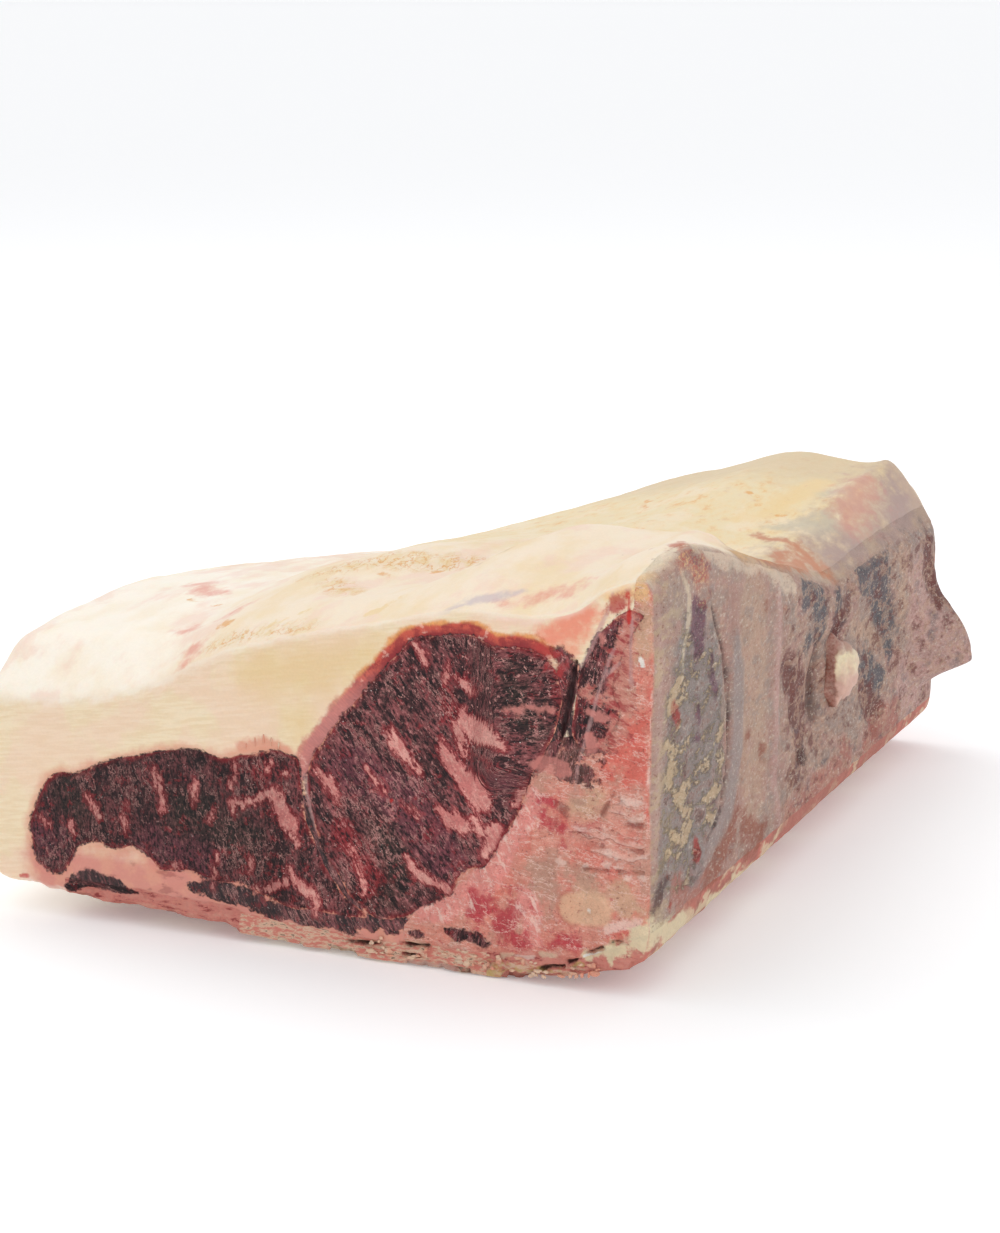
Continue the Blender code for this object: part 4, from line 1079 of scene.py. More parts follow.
def lean_surface(name, first_turn, second_turn, drawn):
    """One muscle. Its fibres turn from the first way to the second in the eye's far upper part."""
    r = Recipe(name, **LEAN_LIGHT)
    inputs = {0: r.field("lie"), 4: r.lay((drawn, 1, 1), first_turn), 5: r.lay((drawn, 1, 1), second_turn)}
    lay = r.node("ShaderNodeMix", {"data_type": "VECTOR"}, inputs).outputs[1]
    colour, height = lean_look(r, lay)
    rim = r.edge("inside", 0.1).rise(0.22, 0.0)
    reds = r.grain(0.7, detail=3.0, shift=0.3)
    colour = r.blend(colour, "lean_red", rim * reds.rise(0.4, 0.6) * 0.7)
    colour = r.blend(seam_look(r), colour, at_lean(r))
    colour = r.painted(veiled(r, colour), CUT_COATS)
    return r.finish(colour, 0.36 + 0.3 * r.grain(0.25, detail=2.0, shift=3.0), height)


def top_look(r):
    """The outside fat: smooth and creamy near the front, older and stained behind the near fold."""
    clouds = r.grain(1.6, (1, 2, 1), detail=4.0)
    mid = r.grain(0.5, (1, 2.2, 1), detail=6.0, roughness=0.66, shift=0.2)
    west = (r.field("across") + r.torn).rise(-3.0, -8.0)
    near = r.painted("cream", [
        ("fat_white", west * 0.8),
        ("butter", clouds.rise(0.42, 0.7) * (0.55 - 0.3 * west)),
        ("rose_fat", r.grain(1.8, (1, 2, 1), detail=4.0, shift=0.4).rise(0.5, 0.64) * 0.45),
    ])
    plain = near
    near = r.painted(near, [
        ("rose_stain", "rose_stain", 0.5, 0.6, 0.75),
        ("lilac_streak", "lilac", 0.25, 0.3, 0.7),
    ])
    rough = r.mark("trimmed", 0.6, 0.5)
    ambers = (r.grain(0.4, (1, 2, 1), detail=5.0, shift=1.9) - 0.5).size()
    near = r.painted(near, [
        ("butter", rough * mid.rise(0.42, 0.6) * 0.8),
        ("amber", rough * mid.rise(0.56, 0.66) * 0.5),
        ("amber", rough * ambers.rise(0.03, 0.008) * 0.8),
        # Painted highlight: a pale line along the rounded edges where the top meets the cut ends.
        ("chalk", r.edge("over", 0.15).size().rise(0.35, 0.08) * 0.5),
    ])
    far = r.painted("aged_fat", [
        ("butter", mid.rise(0.42, 0.6) * 0.6),
        ("cream", clouds.rise(0.5, 0.4) * 0.4),
        ("amber", mid.rise(0.56, 0.7) * 0.5),
        ("hump_tan", r.edge("along", 1.5).rise(8.0, 15.0) * 0.8),
    ])
    far = r.blend(far, r.blend(plain, "rose_fat", mid.rise(0.4, 0.6) * 0.4), west * 0.85)
    far = r.blend(far, "far_slope", r.edge("across", 1.2).rise(10.0, 13.0) * 0.75)
    fold = r.edge("fold", 0.3)
    # Yellow-orange fat in the hollow behind the near fold, partly painted shade in that hollow.
    valley = fold.rise(0.3, -0.8) * fold.rise(-4.2, -1.6) * r.field("across").rise(3.6, 5.2)
    far = r.painted(far, [
        ("valley", valley * (0.35 + 0.7 * mid)),
        ("brown_valley", "valley_brown", 0.5, 0.8, 0.9),
        ("grey_streak", "aged_grey", 0.5, 0.5, 0.75),
        ("yellow_streak", "butter", 0.4, 0.4, 0.85),
        ("mauve_slope", "far_mauve", 0.6, 0.8, 0.75),
        ("coral_streak", "rose_stain", 0.7, 0.9, 0.4),
        ("pit", "stain", 0.2, 0.4, 0.7),
    ])
    colour = r.blend(near, far, r.edge("ahead", 0.3).rise(0.15, -0.5))
    return r.painted(colour, [
        ("flake", "butter", 0.1, 0.4, 0.8),
        ("amber", "amber", 0.12, 0.35, 0.8),
        ("corner_stain", "corner_red", 0.3, 0.8, 0.8),
        ("brown_speck", "stain", 0.03, 0.03, 0.7),
    ]), 0.03 * mid + rough * 0.12 * mid


def fat_surface():
    """Fat: pale and waxy outside, cut across its grain in front, with the skins that wrap the muscles."""
    r = Recipe("fat", **FAT_LIGHT)
    front = r.edge("over", 0.2).rise(0.5, -0.3)
    clouds = r.grain(2.4, detail=4.0)
    mid = r.grain(0.9, detail=5.0, roughness=0.6, shift=0.2)
    skin, skin_height = top_look(r)
    # the front cut
    lines = r.grain(0.12, (9, 1, 1), -8.0, detail=4.0)
    cut_fat = r.painted("cut_fat", [
        ("cut_fat_pale", lines.rise(0.4, 0.62) * 0.6),
        ("rose_fat", clouds.rise(0.55, 0.42) * 0.35),
        ("yellow_fat", "yellow_fat", 0.9, 0.4, 0.7),
    ])
    by_flank = r.edge("to_flank", 0.15)
    cut_fat = r.blend(cut_fat, "pink_fat", by_flank.rise(0.45, 0.02) * 0.75)
    low = r.edge("height", 0.15).rise(3.2, 2.3)
    low_tone = r.blend("pink_fat_low", "pink_fat", mid.rise(0.46, 0.6) * 0.6)
    reds = r.grain(0.35, (2, 1, 1), detail=5.0, shift=0.2)
    low_tone = r.blend(low_tone, "lean_red", reds.rise(0.56, 0.68) * 0.5)
    cut_fat = r.blend(cut_fat, low_tone, low * r.edge("across", 0.3).rise(-11.6, -10.4) * 0.9)
    cut_fat = r.painted(cut_fat, [*FAT_COATS, ("frayed", "pink_fat", 0.15, 0.2, 0.85)])
    to_eye = r.field("to_eye")
    round_eye = {0: r.field("round_eye"), 1: to_eye * 0.2, 2: 0.0}
    hairs_lay = r.node("ShaderNodeCombineXYZ", None, round_eye).outputs[0]
    hairs = r.grain(0.07, detail=3.0, place=hairs_lay)
    blotches = r.grain(0.5, detail=5.0, roughness=0.65, shift=0.9)
    silver = r.painted("silverskin_dark", [
        ("silverskin", (to_eye + r.torn * 0.2).rise(0.02, 0.35)),
        ("silverskin_dark", blotches.rise(0.5, 0.6) * 0.7),
        ("silverskin_edge", (to_eye + r.torn * 0.1).rise(0.36, 0.55) * 0.85),
        ("silverskin_pink", r.field("height").rise(11.2, 9.0) * 0.8),
        # Painted sheen: pale glossy patches on the silverskin.
        ("rose_fat", blotches.rise(0.42, 0.34) * 0.45),
    ])
    silver = r.shade(silver, 0.7 + 0.6 * hairs)
    cut_fat = r.blend(cut_fat, silver, r.mark("silverskin", 0.1, 0.16))
    flesh, flesh_height = lean_look(r, r.lay((5, 1, 1), 65.0))
    lean = at_lean(r).most(r.mark("seam_flesh", 0.05, 0.2)).most(r.mark("between", 0.08, 0.25))
    lean = lean.most(r.mark("low_flesh", 0.06, 0.35))
    cut_fat = r.painted(cut_fat, [
        (flesh, lean),
        (flesh, r.mark("lump", 0.05, 0.2).most(r.mark("base_meat", 0.05, 0.2))),
    ])
    cut_fat = r.painted(veiled(r, cut_fat), [("lump_fat", "fleck_pink", 0.06, 0.12, 0.9), *CUT_COATS])
    colour = r.blend(skin, cut_fat, front)
    colour = r.shade(colour, 0.95 + 0.1 * r.grain(0.09, detail=3.0, shift=1.1))
    height = skin_height + front * (0.02 * lines + flesh_height * lean)
    return r.finish(colour, 0.36 + 0.3 * r.grain(0.5, detail=3.0, shift=2.0), height)


def sawn_look(r):
    """Bone, marrow and fat of the backbone where the saw went through them. Gives (colour, height)."""
    saw = r.grain(0.09, (5, 1, 1), 3.0, detail=5.0, roughness=0.65)
    pits = r.grain(0.12, detail=5.0, roughness=0.7, shift=0.6)
    patches = r.grain(0.9, (1, 1, 1.5), detail=6.0, roughness=0.62, shift=0.5)
    colour = r.painted("sawn_bone", [
        ("sawn_bone_pale", saw.rise(0.44, 0.62) * 0.55),
        ("sawn_bone_grey", patches.rise(0.52, 0.62) * 0.6),
        ("coral", patches.rise(0.46, 0.38) * 0.5),
        ("beige_bone", "beige_bone", 0.35, 0.5, 0.8),
        ("grey_bone", "sawn_bone_grey", 0.3, 0.6, 0.85),
        ("peeled", "sawn_bone_pale", 0.2, 0.5, 0.5),
        *FAT_COATS,
        ("coral", "coral", 0.3, 0.6, 0.85),
        ("marrow", "marrow", 0.35, 0.8, 0.85),
        ("white_band", "saw_edge", 0.08, 0.2, 0.7),
        ("saw_shadow", pits.rise(0.44, 0.3) * 0.75),
        ("saw_edge", pits.rise(0.56, 0.7) * 0.6),
    ])
    dabs = r.grain(0.3, (3, 1, 1), 60.0, detail=6.0, roughness=0.68, shift=0.9)
    wisps = (r.grain(0.6, (3, 1, 1), 6.0, detail=6.0, roughness=0.65, shift=1.4) - 0.5).size()
    colour = r.painted(colour, [
        ("saw_edge", r.mark("wedge", 0.15, 0.4) * dabs.rise(0.52, 0.62) * 0.7),
        ("saw_edge", wisps.rise(0.014, 0.003) * 0.6),
        ("marrow", r.grain(0.35, detail=6.0, roughness=0.7, shift=3.1).rise(0.57, 0.7) * 0.7),
    ])
    oval = r.edge("oval", 0.07)
    colour = r.painted(colour, [
        ("oval_rim", oval.rise(-0.14, -0.02) * r.field("across").rise(11.3, 10.6) * 0.5),
        ("oval", oval.rise(-0.12, 0.14) * (0.8 - 0.5 * pits.rise(0.45, 0.3))),
    ])
    ledge = r.edge("terrace", 0.12).part()
    stepped = r.edge("peeled", 0.35).rise(-0.1, 0.25)
    colour = r.painted(colour, [
        # Painted highlight along each ledge's top edge, and painted shade under it.
        ("saw_edge", ledge.rise(0.45, 0.05) * stepped * 0.4),
        ("saw_shadow", ledge.rise(0.86, 0.96) * stepped * 0.4),
        ("ledge_gap", "saw_shadow", 0.08, 0.25, 0.55),
        ("ledge", "saw_edge", 0.06, 0.25, 0.55),
    ])
    flesh, flesh_height = lean_look(r, r.lay((6, 1, 1), 100.0))
    lean = at_lean(r).most(r.mark("base_meat", 0.05, 0.2)).most(r.mark("between", 0.08, 0.25))
    lean = lean.most(r.mark("back_low", 0.1, 0.7) * 0.9)
    colour = veiled(r, r.blend(colour, flesh, lean))
    colour = r.painted(colour, [
        ("base_crust", "crumb_crust", 0.15, 0.4, 0.7),
        ("pale_crumb", "crumb_pale", 0.06, 0.15, 0.9),
        ("corner_fat", "corner_fat", 0.15, 0.4, 0.9),
        ("olive", "olive_crust", 0.06, 0.15, 0.8),
        # Painted shade in the gashes.
        ("gash", "gash_dark", 0.05, 0.1, 0.9),
        *CUT_COATS,
    ])
    return colour, 0.05 * saw + 0.08 * pits + 0.12 * stepped * ledge + flesh_height * lean


def dried_look(r):
    """The dried, moulded face along the split, and the crest above it. Gives (colour, height)."""
    broad = r.grain(1.0, (1, 2, 1), detail=5.0, roughness=0.6, shift=0.5)
    blots = r.grain(0.6, (1, 2.2, 1), detail=6.0, roughness=0.66, shift=1.2)
    streaks = r.grain(0.2, (1, 1.6, 1.2), detail=5.0, roughness=0.66, shift=0.6)
    crumbs = r.grain(0.12, (1, 2, 1), detail=5.0, roughness=0.72, shift=2.4)
    wild = r.edge("along", 1.5).rise(-6.5, -3.0)
    colour = r.painted("dry_bone", [
        ("dry_pink", broad.rise(0.42, 0.58)),
        ("dry_panel", streaks.rise(0.48, 0.64) * 0.5),
        ("bone_panel", "dry_panel", 0.5, 0.4, 0.6),
        ("grey_shoulder", "grey_shoulder", 0.8, 0.7, 0.7),
        ("mauve_end", "dry_mauve", 0.8, 0.7, 0.7),
        ("grey_zone", "grey_blue", 0.4, 0.6, 0.85),
        ("slate", "slate", 0.3, 0.6, 0.85),
        ("maroon", "maroon", 0.35, 0.8, 0.85),
        ("pale_veins", "dry_panel", 0.25, 0.5, 0.7),
        ("rust", "rust", 0.3, 0.6, 0.8),
        ("raw_rib", "raw_rib", 0.3, 0.5, 0.8),
        ("slate", wild * blots.rise(0.5, 0.72) * 0.6),
        ("maroon", wild * blots.rise(0.5, 0.36) * 0.75),
        ("dry_pink", (1 - wild) * blots.rise(0.46, 0.36) * 0.6),
        ("grey_shoulder", (1 - wild) * blots.rise(0.54, 0.64) * 0.5),
        ("dry_panel", wild * (broad - 0.5).size().rise(0.05, 0.0) * 0.5),
        ("rust", streaks.rise(0.4, 0.3) * 0.5),
    ])
    on_grey = r.mark("grey_zone", 0.3, 0.4)
    bloom = (r.mark("mould", 0.6, 0.5) * 0.16 + blots + (crumbs - 0.5) * 0.4).rise(0.52, 0.62) * on_grey
    colour = r.painted(colour, [
        ("mould", bloom * 0.9),
        ("rust", on_grey * (crumbs - 0.5).size().rise(0.012, 0.004) * 0.5),
        ("gash_dark", on_grey * blots.rise(0.42, 0.34) * 0.6),
        ("edge_strip", "edge_pink", 0.2, 0.25, 0.75),
        ("cream_line", "cream_line", 0.1, 0.15, 0.8),
        ("purple_side", "purple_side", 0.2, 0.4, 0.85),
        ("lilac_ridge", "lilac_ridge", 0.3, 0.25, 0.75),
        ("second_fold", "dry_mauve", 0.3, 0.3, 0.7),
        ("pale_crest", "pale_crest", 0.3, 0.5, 0.75),
        ("knob_shadow", "gash_dark", 0.4, 0.3, 0.7),
        ("dark_spot", "gash_dark", 0.2, 0.4, 0.7),
        # Painted shade along the crease.
        ("crease", "crease", 0.1, 0.08, 0.8),
        ("blood_spot", "blood", 0.1, 0.2, 0.85),
        ("corner_cream", "corner_fat", 0.15, 0.4, 0.85),
        ("dry_pale", crumbs.rise(0.54, 0.66) * 0.6),
        ("rust", crumbs.rise(0.44, 0.32) * 0.55),
    ])
    corner = r.edge("along", 0.8).rise(-15.2, -17.0)
    colour = r.painted(colour, [
        ("mould", corner * blots.rise(0.46, 0.6) * 0.6),
        ("maroon", corner * crumbs.rise(0.42, 0.32) * 0.5),
    ])
    off_crest = r.edge("across", 0.2) + (blots - 0.5) * 0.8
    up = r.field("up").rise(0.1, 0.4) * off_crest.rise(13.8, 13.1)
    top, top_height = top_look(r)
    near_crest = r.edge("along", 1.2).rise(-4.0, -7.0) * r.edge("across", 0.3).rise(13.0, 13.5)
    top = r.painted(top, [
        ("pale_crest", near_crest * blots.rise(0.56, 0.46) * 0.5),
        ("peach", "orange_fat", 0.3, 0.5, 0.7),
    ])
    colour = r.blend(colour, top, up)
    stained = r.mark("stain_corner", 0.5, 0.8)
    colour = r.painted(colour, [
        ("amber", stained * crumbs.rise(0.5, 0.6) * 0.6),
        ("corner_red", stained * crumbs.rise(0.56, 0.44) * 0.75),
        ("purple_side", stained * blots.rise(0.52, 0.62) * 0.6),
    ])
    return colour, 0.09 * streaks + 0.1 * crumbs + 0.08 * bloom


def split_bone_surface():
    """The split backbone: fresh sawn bone in front, dried and moulded along the side."""
    r = Recipe("split_bone", **DRY_LIGHT)
    front = r.edge("over", 0.06).rise(0.1, -0.06)
    sawn, sawn_height = sawn_look(r)
    dried, dried_height = dried_look(r)
    speckle = r.grain(0.05, detail=2.0)
    uneven = r.grain(0.7, (1, 2, 1), detail=6.0, roughness=0.7, shift=5.5)
    colour = r.shade(r.blend(dried, sawn, front), 0.5 + 0.4 * speckle + 0.6 * uneven)
    height = dried_height + (sawn_height - dried_height) * front + 0.02 * speckle
    return r.finish(colour, 0.45 + 0.3 * r.grain(0.3, detail=3.0, shift=0.9), height)


def crust_surface():
    """The underside: a dry crust over the ribs that crumbles at the front edge."""
    r = Recipe("underside_crust", **DRY_LIGHT)
    front = r.edge("over", 0.06).rise(0.12, -0.06)
    pores = r.grain(0.16, detail=5.0, roughness=0.65)
    clouds = r.grain(1.0, detail=5.0)
    colour = r.painted("crumb_crust", [
        ("raw_rib", clouds.rise(0.4, 0.6)),
        ("corner_fat", r.grain(1.4, (1.6, 1, 0.5), detail=4.0, shift=0.9).rise(0.52, 0.62) * 0.7),
        ("raw_rib", "raw_rib", 0.3, 0.5, 0.7),
        ("rust", "rust", 0.3, 0.6, 0.8),
        ("dark_spot", "gash_dark", 0.2, 0.4, 0.7),
        ("corner_cream", "corner_fat", 0.15, 0.4, 0.9),
        ("blood_spot", "blood", 0.1, 0.2, 0.85),
    ])
    sheets = r.grain(0.16, (4, 1, 1), -3.0, detail=6.0, roughness=0.68, shift=0.3)
    cut_crust = r.painted("crumb_crust", [
        ("crumb_pale", sheets.rise(0.46, 0.6)),
        ("gash_dark", sheets.rise(0.4, 0.3) * 0.85),
        ("olive_crust", (pores + clouds).rise(1.08, 1.2) * 0.6),
    ])
    pinker = r.edge("height", 0.25).rise(0.4, 0.75).most((r.field("across") + r.torn).rise(3.6, 1.6) * 0.85)
    cut_crust = r.painted(cut_crust, [
        ("pink_fat_low", pinker * 0.85),
        ("lean_red", pinker * sheets.rise(0.46, 0.36) * 0.8),
    ])
    flesh, flesh_height = lean_look(r, r.lay((5, 1, 1), 10.0))
    cut_crust = r.painted(cut_crust, [
        (flesh, r.mark("lump", 0.05, 0.2).most(r.mark("base_meat", 0.05, 0.2))),
        ("pale_crumb", "crumb_pale", 0.06, 0.15, 0.9),
        ("corner_fat", "corner_fat", 0.1, 0.4, 0.9),
        ("white_band", "saw_edge", 0.08, 0.2, 0.7),
        ("olive", "olive_crust", 0.06, 0.15, 0.8),
        # Painted shade in the gashes.
        ("gash", "gash_dark", 0.05, 0.1, 0.9),
    ])
    colour = r.shade(r.blend(colour, cut_crust, front), 0.8 + 0.4 * pores)
    return r.finish(colour, 0.55 + 0.2 * clouds, 0.14 * pores)


def rib_surface():
    """The finger bones under the joint, dry and ivory with a pink tint."""
    r = Recipe("finger_bone", **DRY_LIGHT)
    pores = r.grain(0.12, (3, 1, 1), detail=5.0, roughness=0.65)
    front = r.edge("over", 0.06).rise(0.12, -0.06)
    colour = r.painted("cream_line", [
        ("edge_pink", r.grain(1.0, detail=5.0).rise(0.42, 0.6)),
        ("rust", r.grain(0.7, detail=5.0, shift=0.4).rise(0.56, 0.68) * 0.6),
    ])
    cut_bone = r.painted("crumb_pale", [
        ("crumb_crust", pores.rise(0.42, 0.58)),
        ("gash_dark", pores.rise(0.42, 0.34) * 0.7),
        # Painted shade in the gashes.
        ("gash", "gash_dark", 0.05, 0.1, 0.9),
    ])
    colour = r.blend(colour, cut_bone, front)
    return r.finish(r.shade(colour, 0.85 + 0.3 * pores), 0.5 + 0.2 * pores, 0.08 * pores)


def knob_surface():
    """The torn joint facet: waxy cartilage, cream on top and pinker below."""
    r = Recipe("facet_cartilage", **FAT_LIGHT)
    clouds = r.grain(0.7, detail=5.0)
    height = r.field("height")
    colour = r.painted("knob_pink", [
        ("knob_cream", (height + 2 * clouds).rise(7.4, 8.6)),
        ("dry_pink", (height + r.torn * 0.3).rise(7.5, 7.9) * 0.9),
    ])
    crumbs = r.grain(0.12, (1, 2, 1), detail=5.0, roughness=0.72, shift=2.4)
    dried = r.painted("dry_bone", [
        ("dry_pink", clouds.rise(0.42, 0.56)),
        ("maroon", crumbs.rise(0.5, 0.4) * 0.6),
        ("dry_pale", crumbs.rise(0.54, 0.66) * 0.6),
    ])
    rim = r.edge("rim", 0.15)
    colour = r.painted(colour, [
        (dried, rim.rise(0.14, 0.04)),
        # A rust brown ring where the facet meets the split face, partly painted shade at its foot.
        ("rust", rim.rise(0.2, 0.06) * 0.5),
    ])
    colour = r.shade(colour, 0.85 + 0.3 * r.grain(0.15, detail=3.0))
    return r.finish(colour, 0.4 + 0.2 * clouds, 0.12 * clouds)


def crumb_surface():
    r = Recipe("bone_crumbs", **FAT_LIGHT)
    colour = r.blend("crumb_pale", "pink_fat", r.grain(0.8, detail=2.0).rise(0.4, 0.6))
    return r.finish(colour, 0.5 + 0.1 * r.grain(0.2), 0.05 * r.grain(0.1, detail=3.0))


# ---------------------------------------------------------------- what the materials read from each piece
def silverskin(spots):
    """The skin round the eye's upper left side, seen as a band outside it."""
    x, _, z = spots.real.T
    (x0, z0), (x1, z1) = SILVERSKIN_ENDS
    over_line = ((z - z0) * (x1 - x0) - (x - x0) * (z1 - z0)) / math.hypot(x1 - x0, z1 - z0)
    return np.minimum(SILVERSKIN_WIDTH + spots.muscle["eye_muscle"], over_line)


def ahead_of_fold(spots):
    """How far in front of the near fold's edge each vertex lies. The near fat left of it counts as well."""
    x, y, _ = spots.real.T
    return np.maximum(FOLD_FIELD.depth(x, y), NEAR_SLOPE * np.minimum(NEAR_TO - y, NEAR_LEFT_OF - x))


MEASURES = {
    "over": lambda spots: np.minimum(spots.from_front, spots.from_back) - spots.depth,
    "along": lambda spots: spots.real[:, 1],
    "height": lambda spots: spots.real[:, 2],
    "inside": lambda spots: np.max(list(spots.muscle.values()), axis=0),
    "to_eye": lambda spots: -spots.muscle["eye_muscle"],
    "to_flank": lambda spots: -spots.muscle["flank_muscle"],
    "round_eye": lambda spots: MUSCLE_FIELDS["eye_muscle"].read(
        MUSCLE_FIELDS["eye_muscle"].walked, spots.straight[:, 0], spots.straight[:, 2]),
    "lie": lambda spots: smooth_step(6.8, 8.0, spots.real[:, 0]) * smooth_step(6.4, 7.8, spots.real[:, 2]),
    "silverskin": silverskin,
    "fold": lambda spots: FOLD_FIELD.depth(spots.real[:, 0], spots.real[:, 1]),
    "ahead": ahead_of_fold,
    "across": lambda spots: spots.real[:, 0],
    "up": lambda spots: spots.out_z * (spots.depth < 1.0),
    "terrace": terrace,
}


def keep_field(obj, name, values):
    made = obj.data.attributes.new(name, "FLOAT", "POINT")
    made.data.foreach_set("value", np.asarray(values, np.float32))


def set_points(obj, points):
    obj.data.vertices.foreach_set("co", points.astype(np.float32).ravel())
    obj.data.update()


def finish_piece(obj, nodes, recipe):
    obj.data.materials.clear()
    obj.data.materials.append(recipe.material)
    obj.data.shade_smooth()
    obj.data.set_sharp_from_angle(angle=SHARP_FROM)
    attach(obj, "root")
    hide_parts(*nodes)


def dress(obj, nodes, recipe):
    """Roughens and bends a cut piece, and keeps what its material reads."""
    spots = Spots(points_of(obj))
    for name in recipe.fields:
        keep_field(obj, name, MEASURES[name](spots) if name in MEASURES else spots.mark(name))
    set_points(obj, finished_place(spots))
    finish_piece(obj, nodes, recipe)


# ---------------------------------------------------------------- settings
def length(name, description, default):
    """A size in centimetres."""
    return bpy.props.FloatProperty(name=name, description=description + ", in cm", default=default,
                                   min=0.0, max=5.0)


def seen(name, description, red, green, blue):
    """A colour given as it is seen, from 0 to 255, and kept linear."""
    shares = [value / 255 for value in (red, green, blue)]
    linear = [s / 12.92 if s <= 0.04045 else ((s + 0.055) / 1.055) ** 2.4 for s in shares]
    return bpy.props.FloatVectorProperty(name=name, description=description, subtype="COLOR", size=3,
                                         min=0.0, max=1.0, default=linear)


class SirloinRelief(bpy.types.PropertyGroup):
    edge_round: length("Fat edge", "How far the fat's cut edges are rounded", 1.2)
    chine_round: length("Bone edge", "How far the cut edges of lean and bone are rounded", 0.35)
    fold_drop: length("Near fold", "How far the top drops behind the near fold", 0.95)
    fibre_depth: length("Fibres", "How deep the fibres of the lean stand out", 0.02)
    saw_depth: length("Saw marks", "How deep the saw's scratches and ledges in the bone are", 0.06)
    crag_depth: length("Crags", "How deep the broken edge of the underside is", 0.12)
    trim_depth: length("Trimmed fat", "How rough the trimmed patches on top are", 0.12)
    rib_rise: length("Ribs", "How far the finger bones stand out below", 0.12)


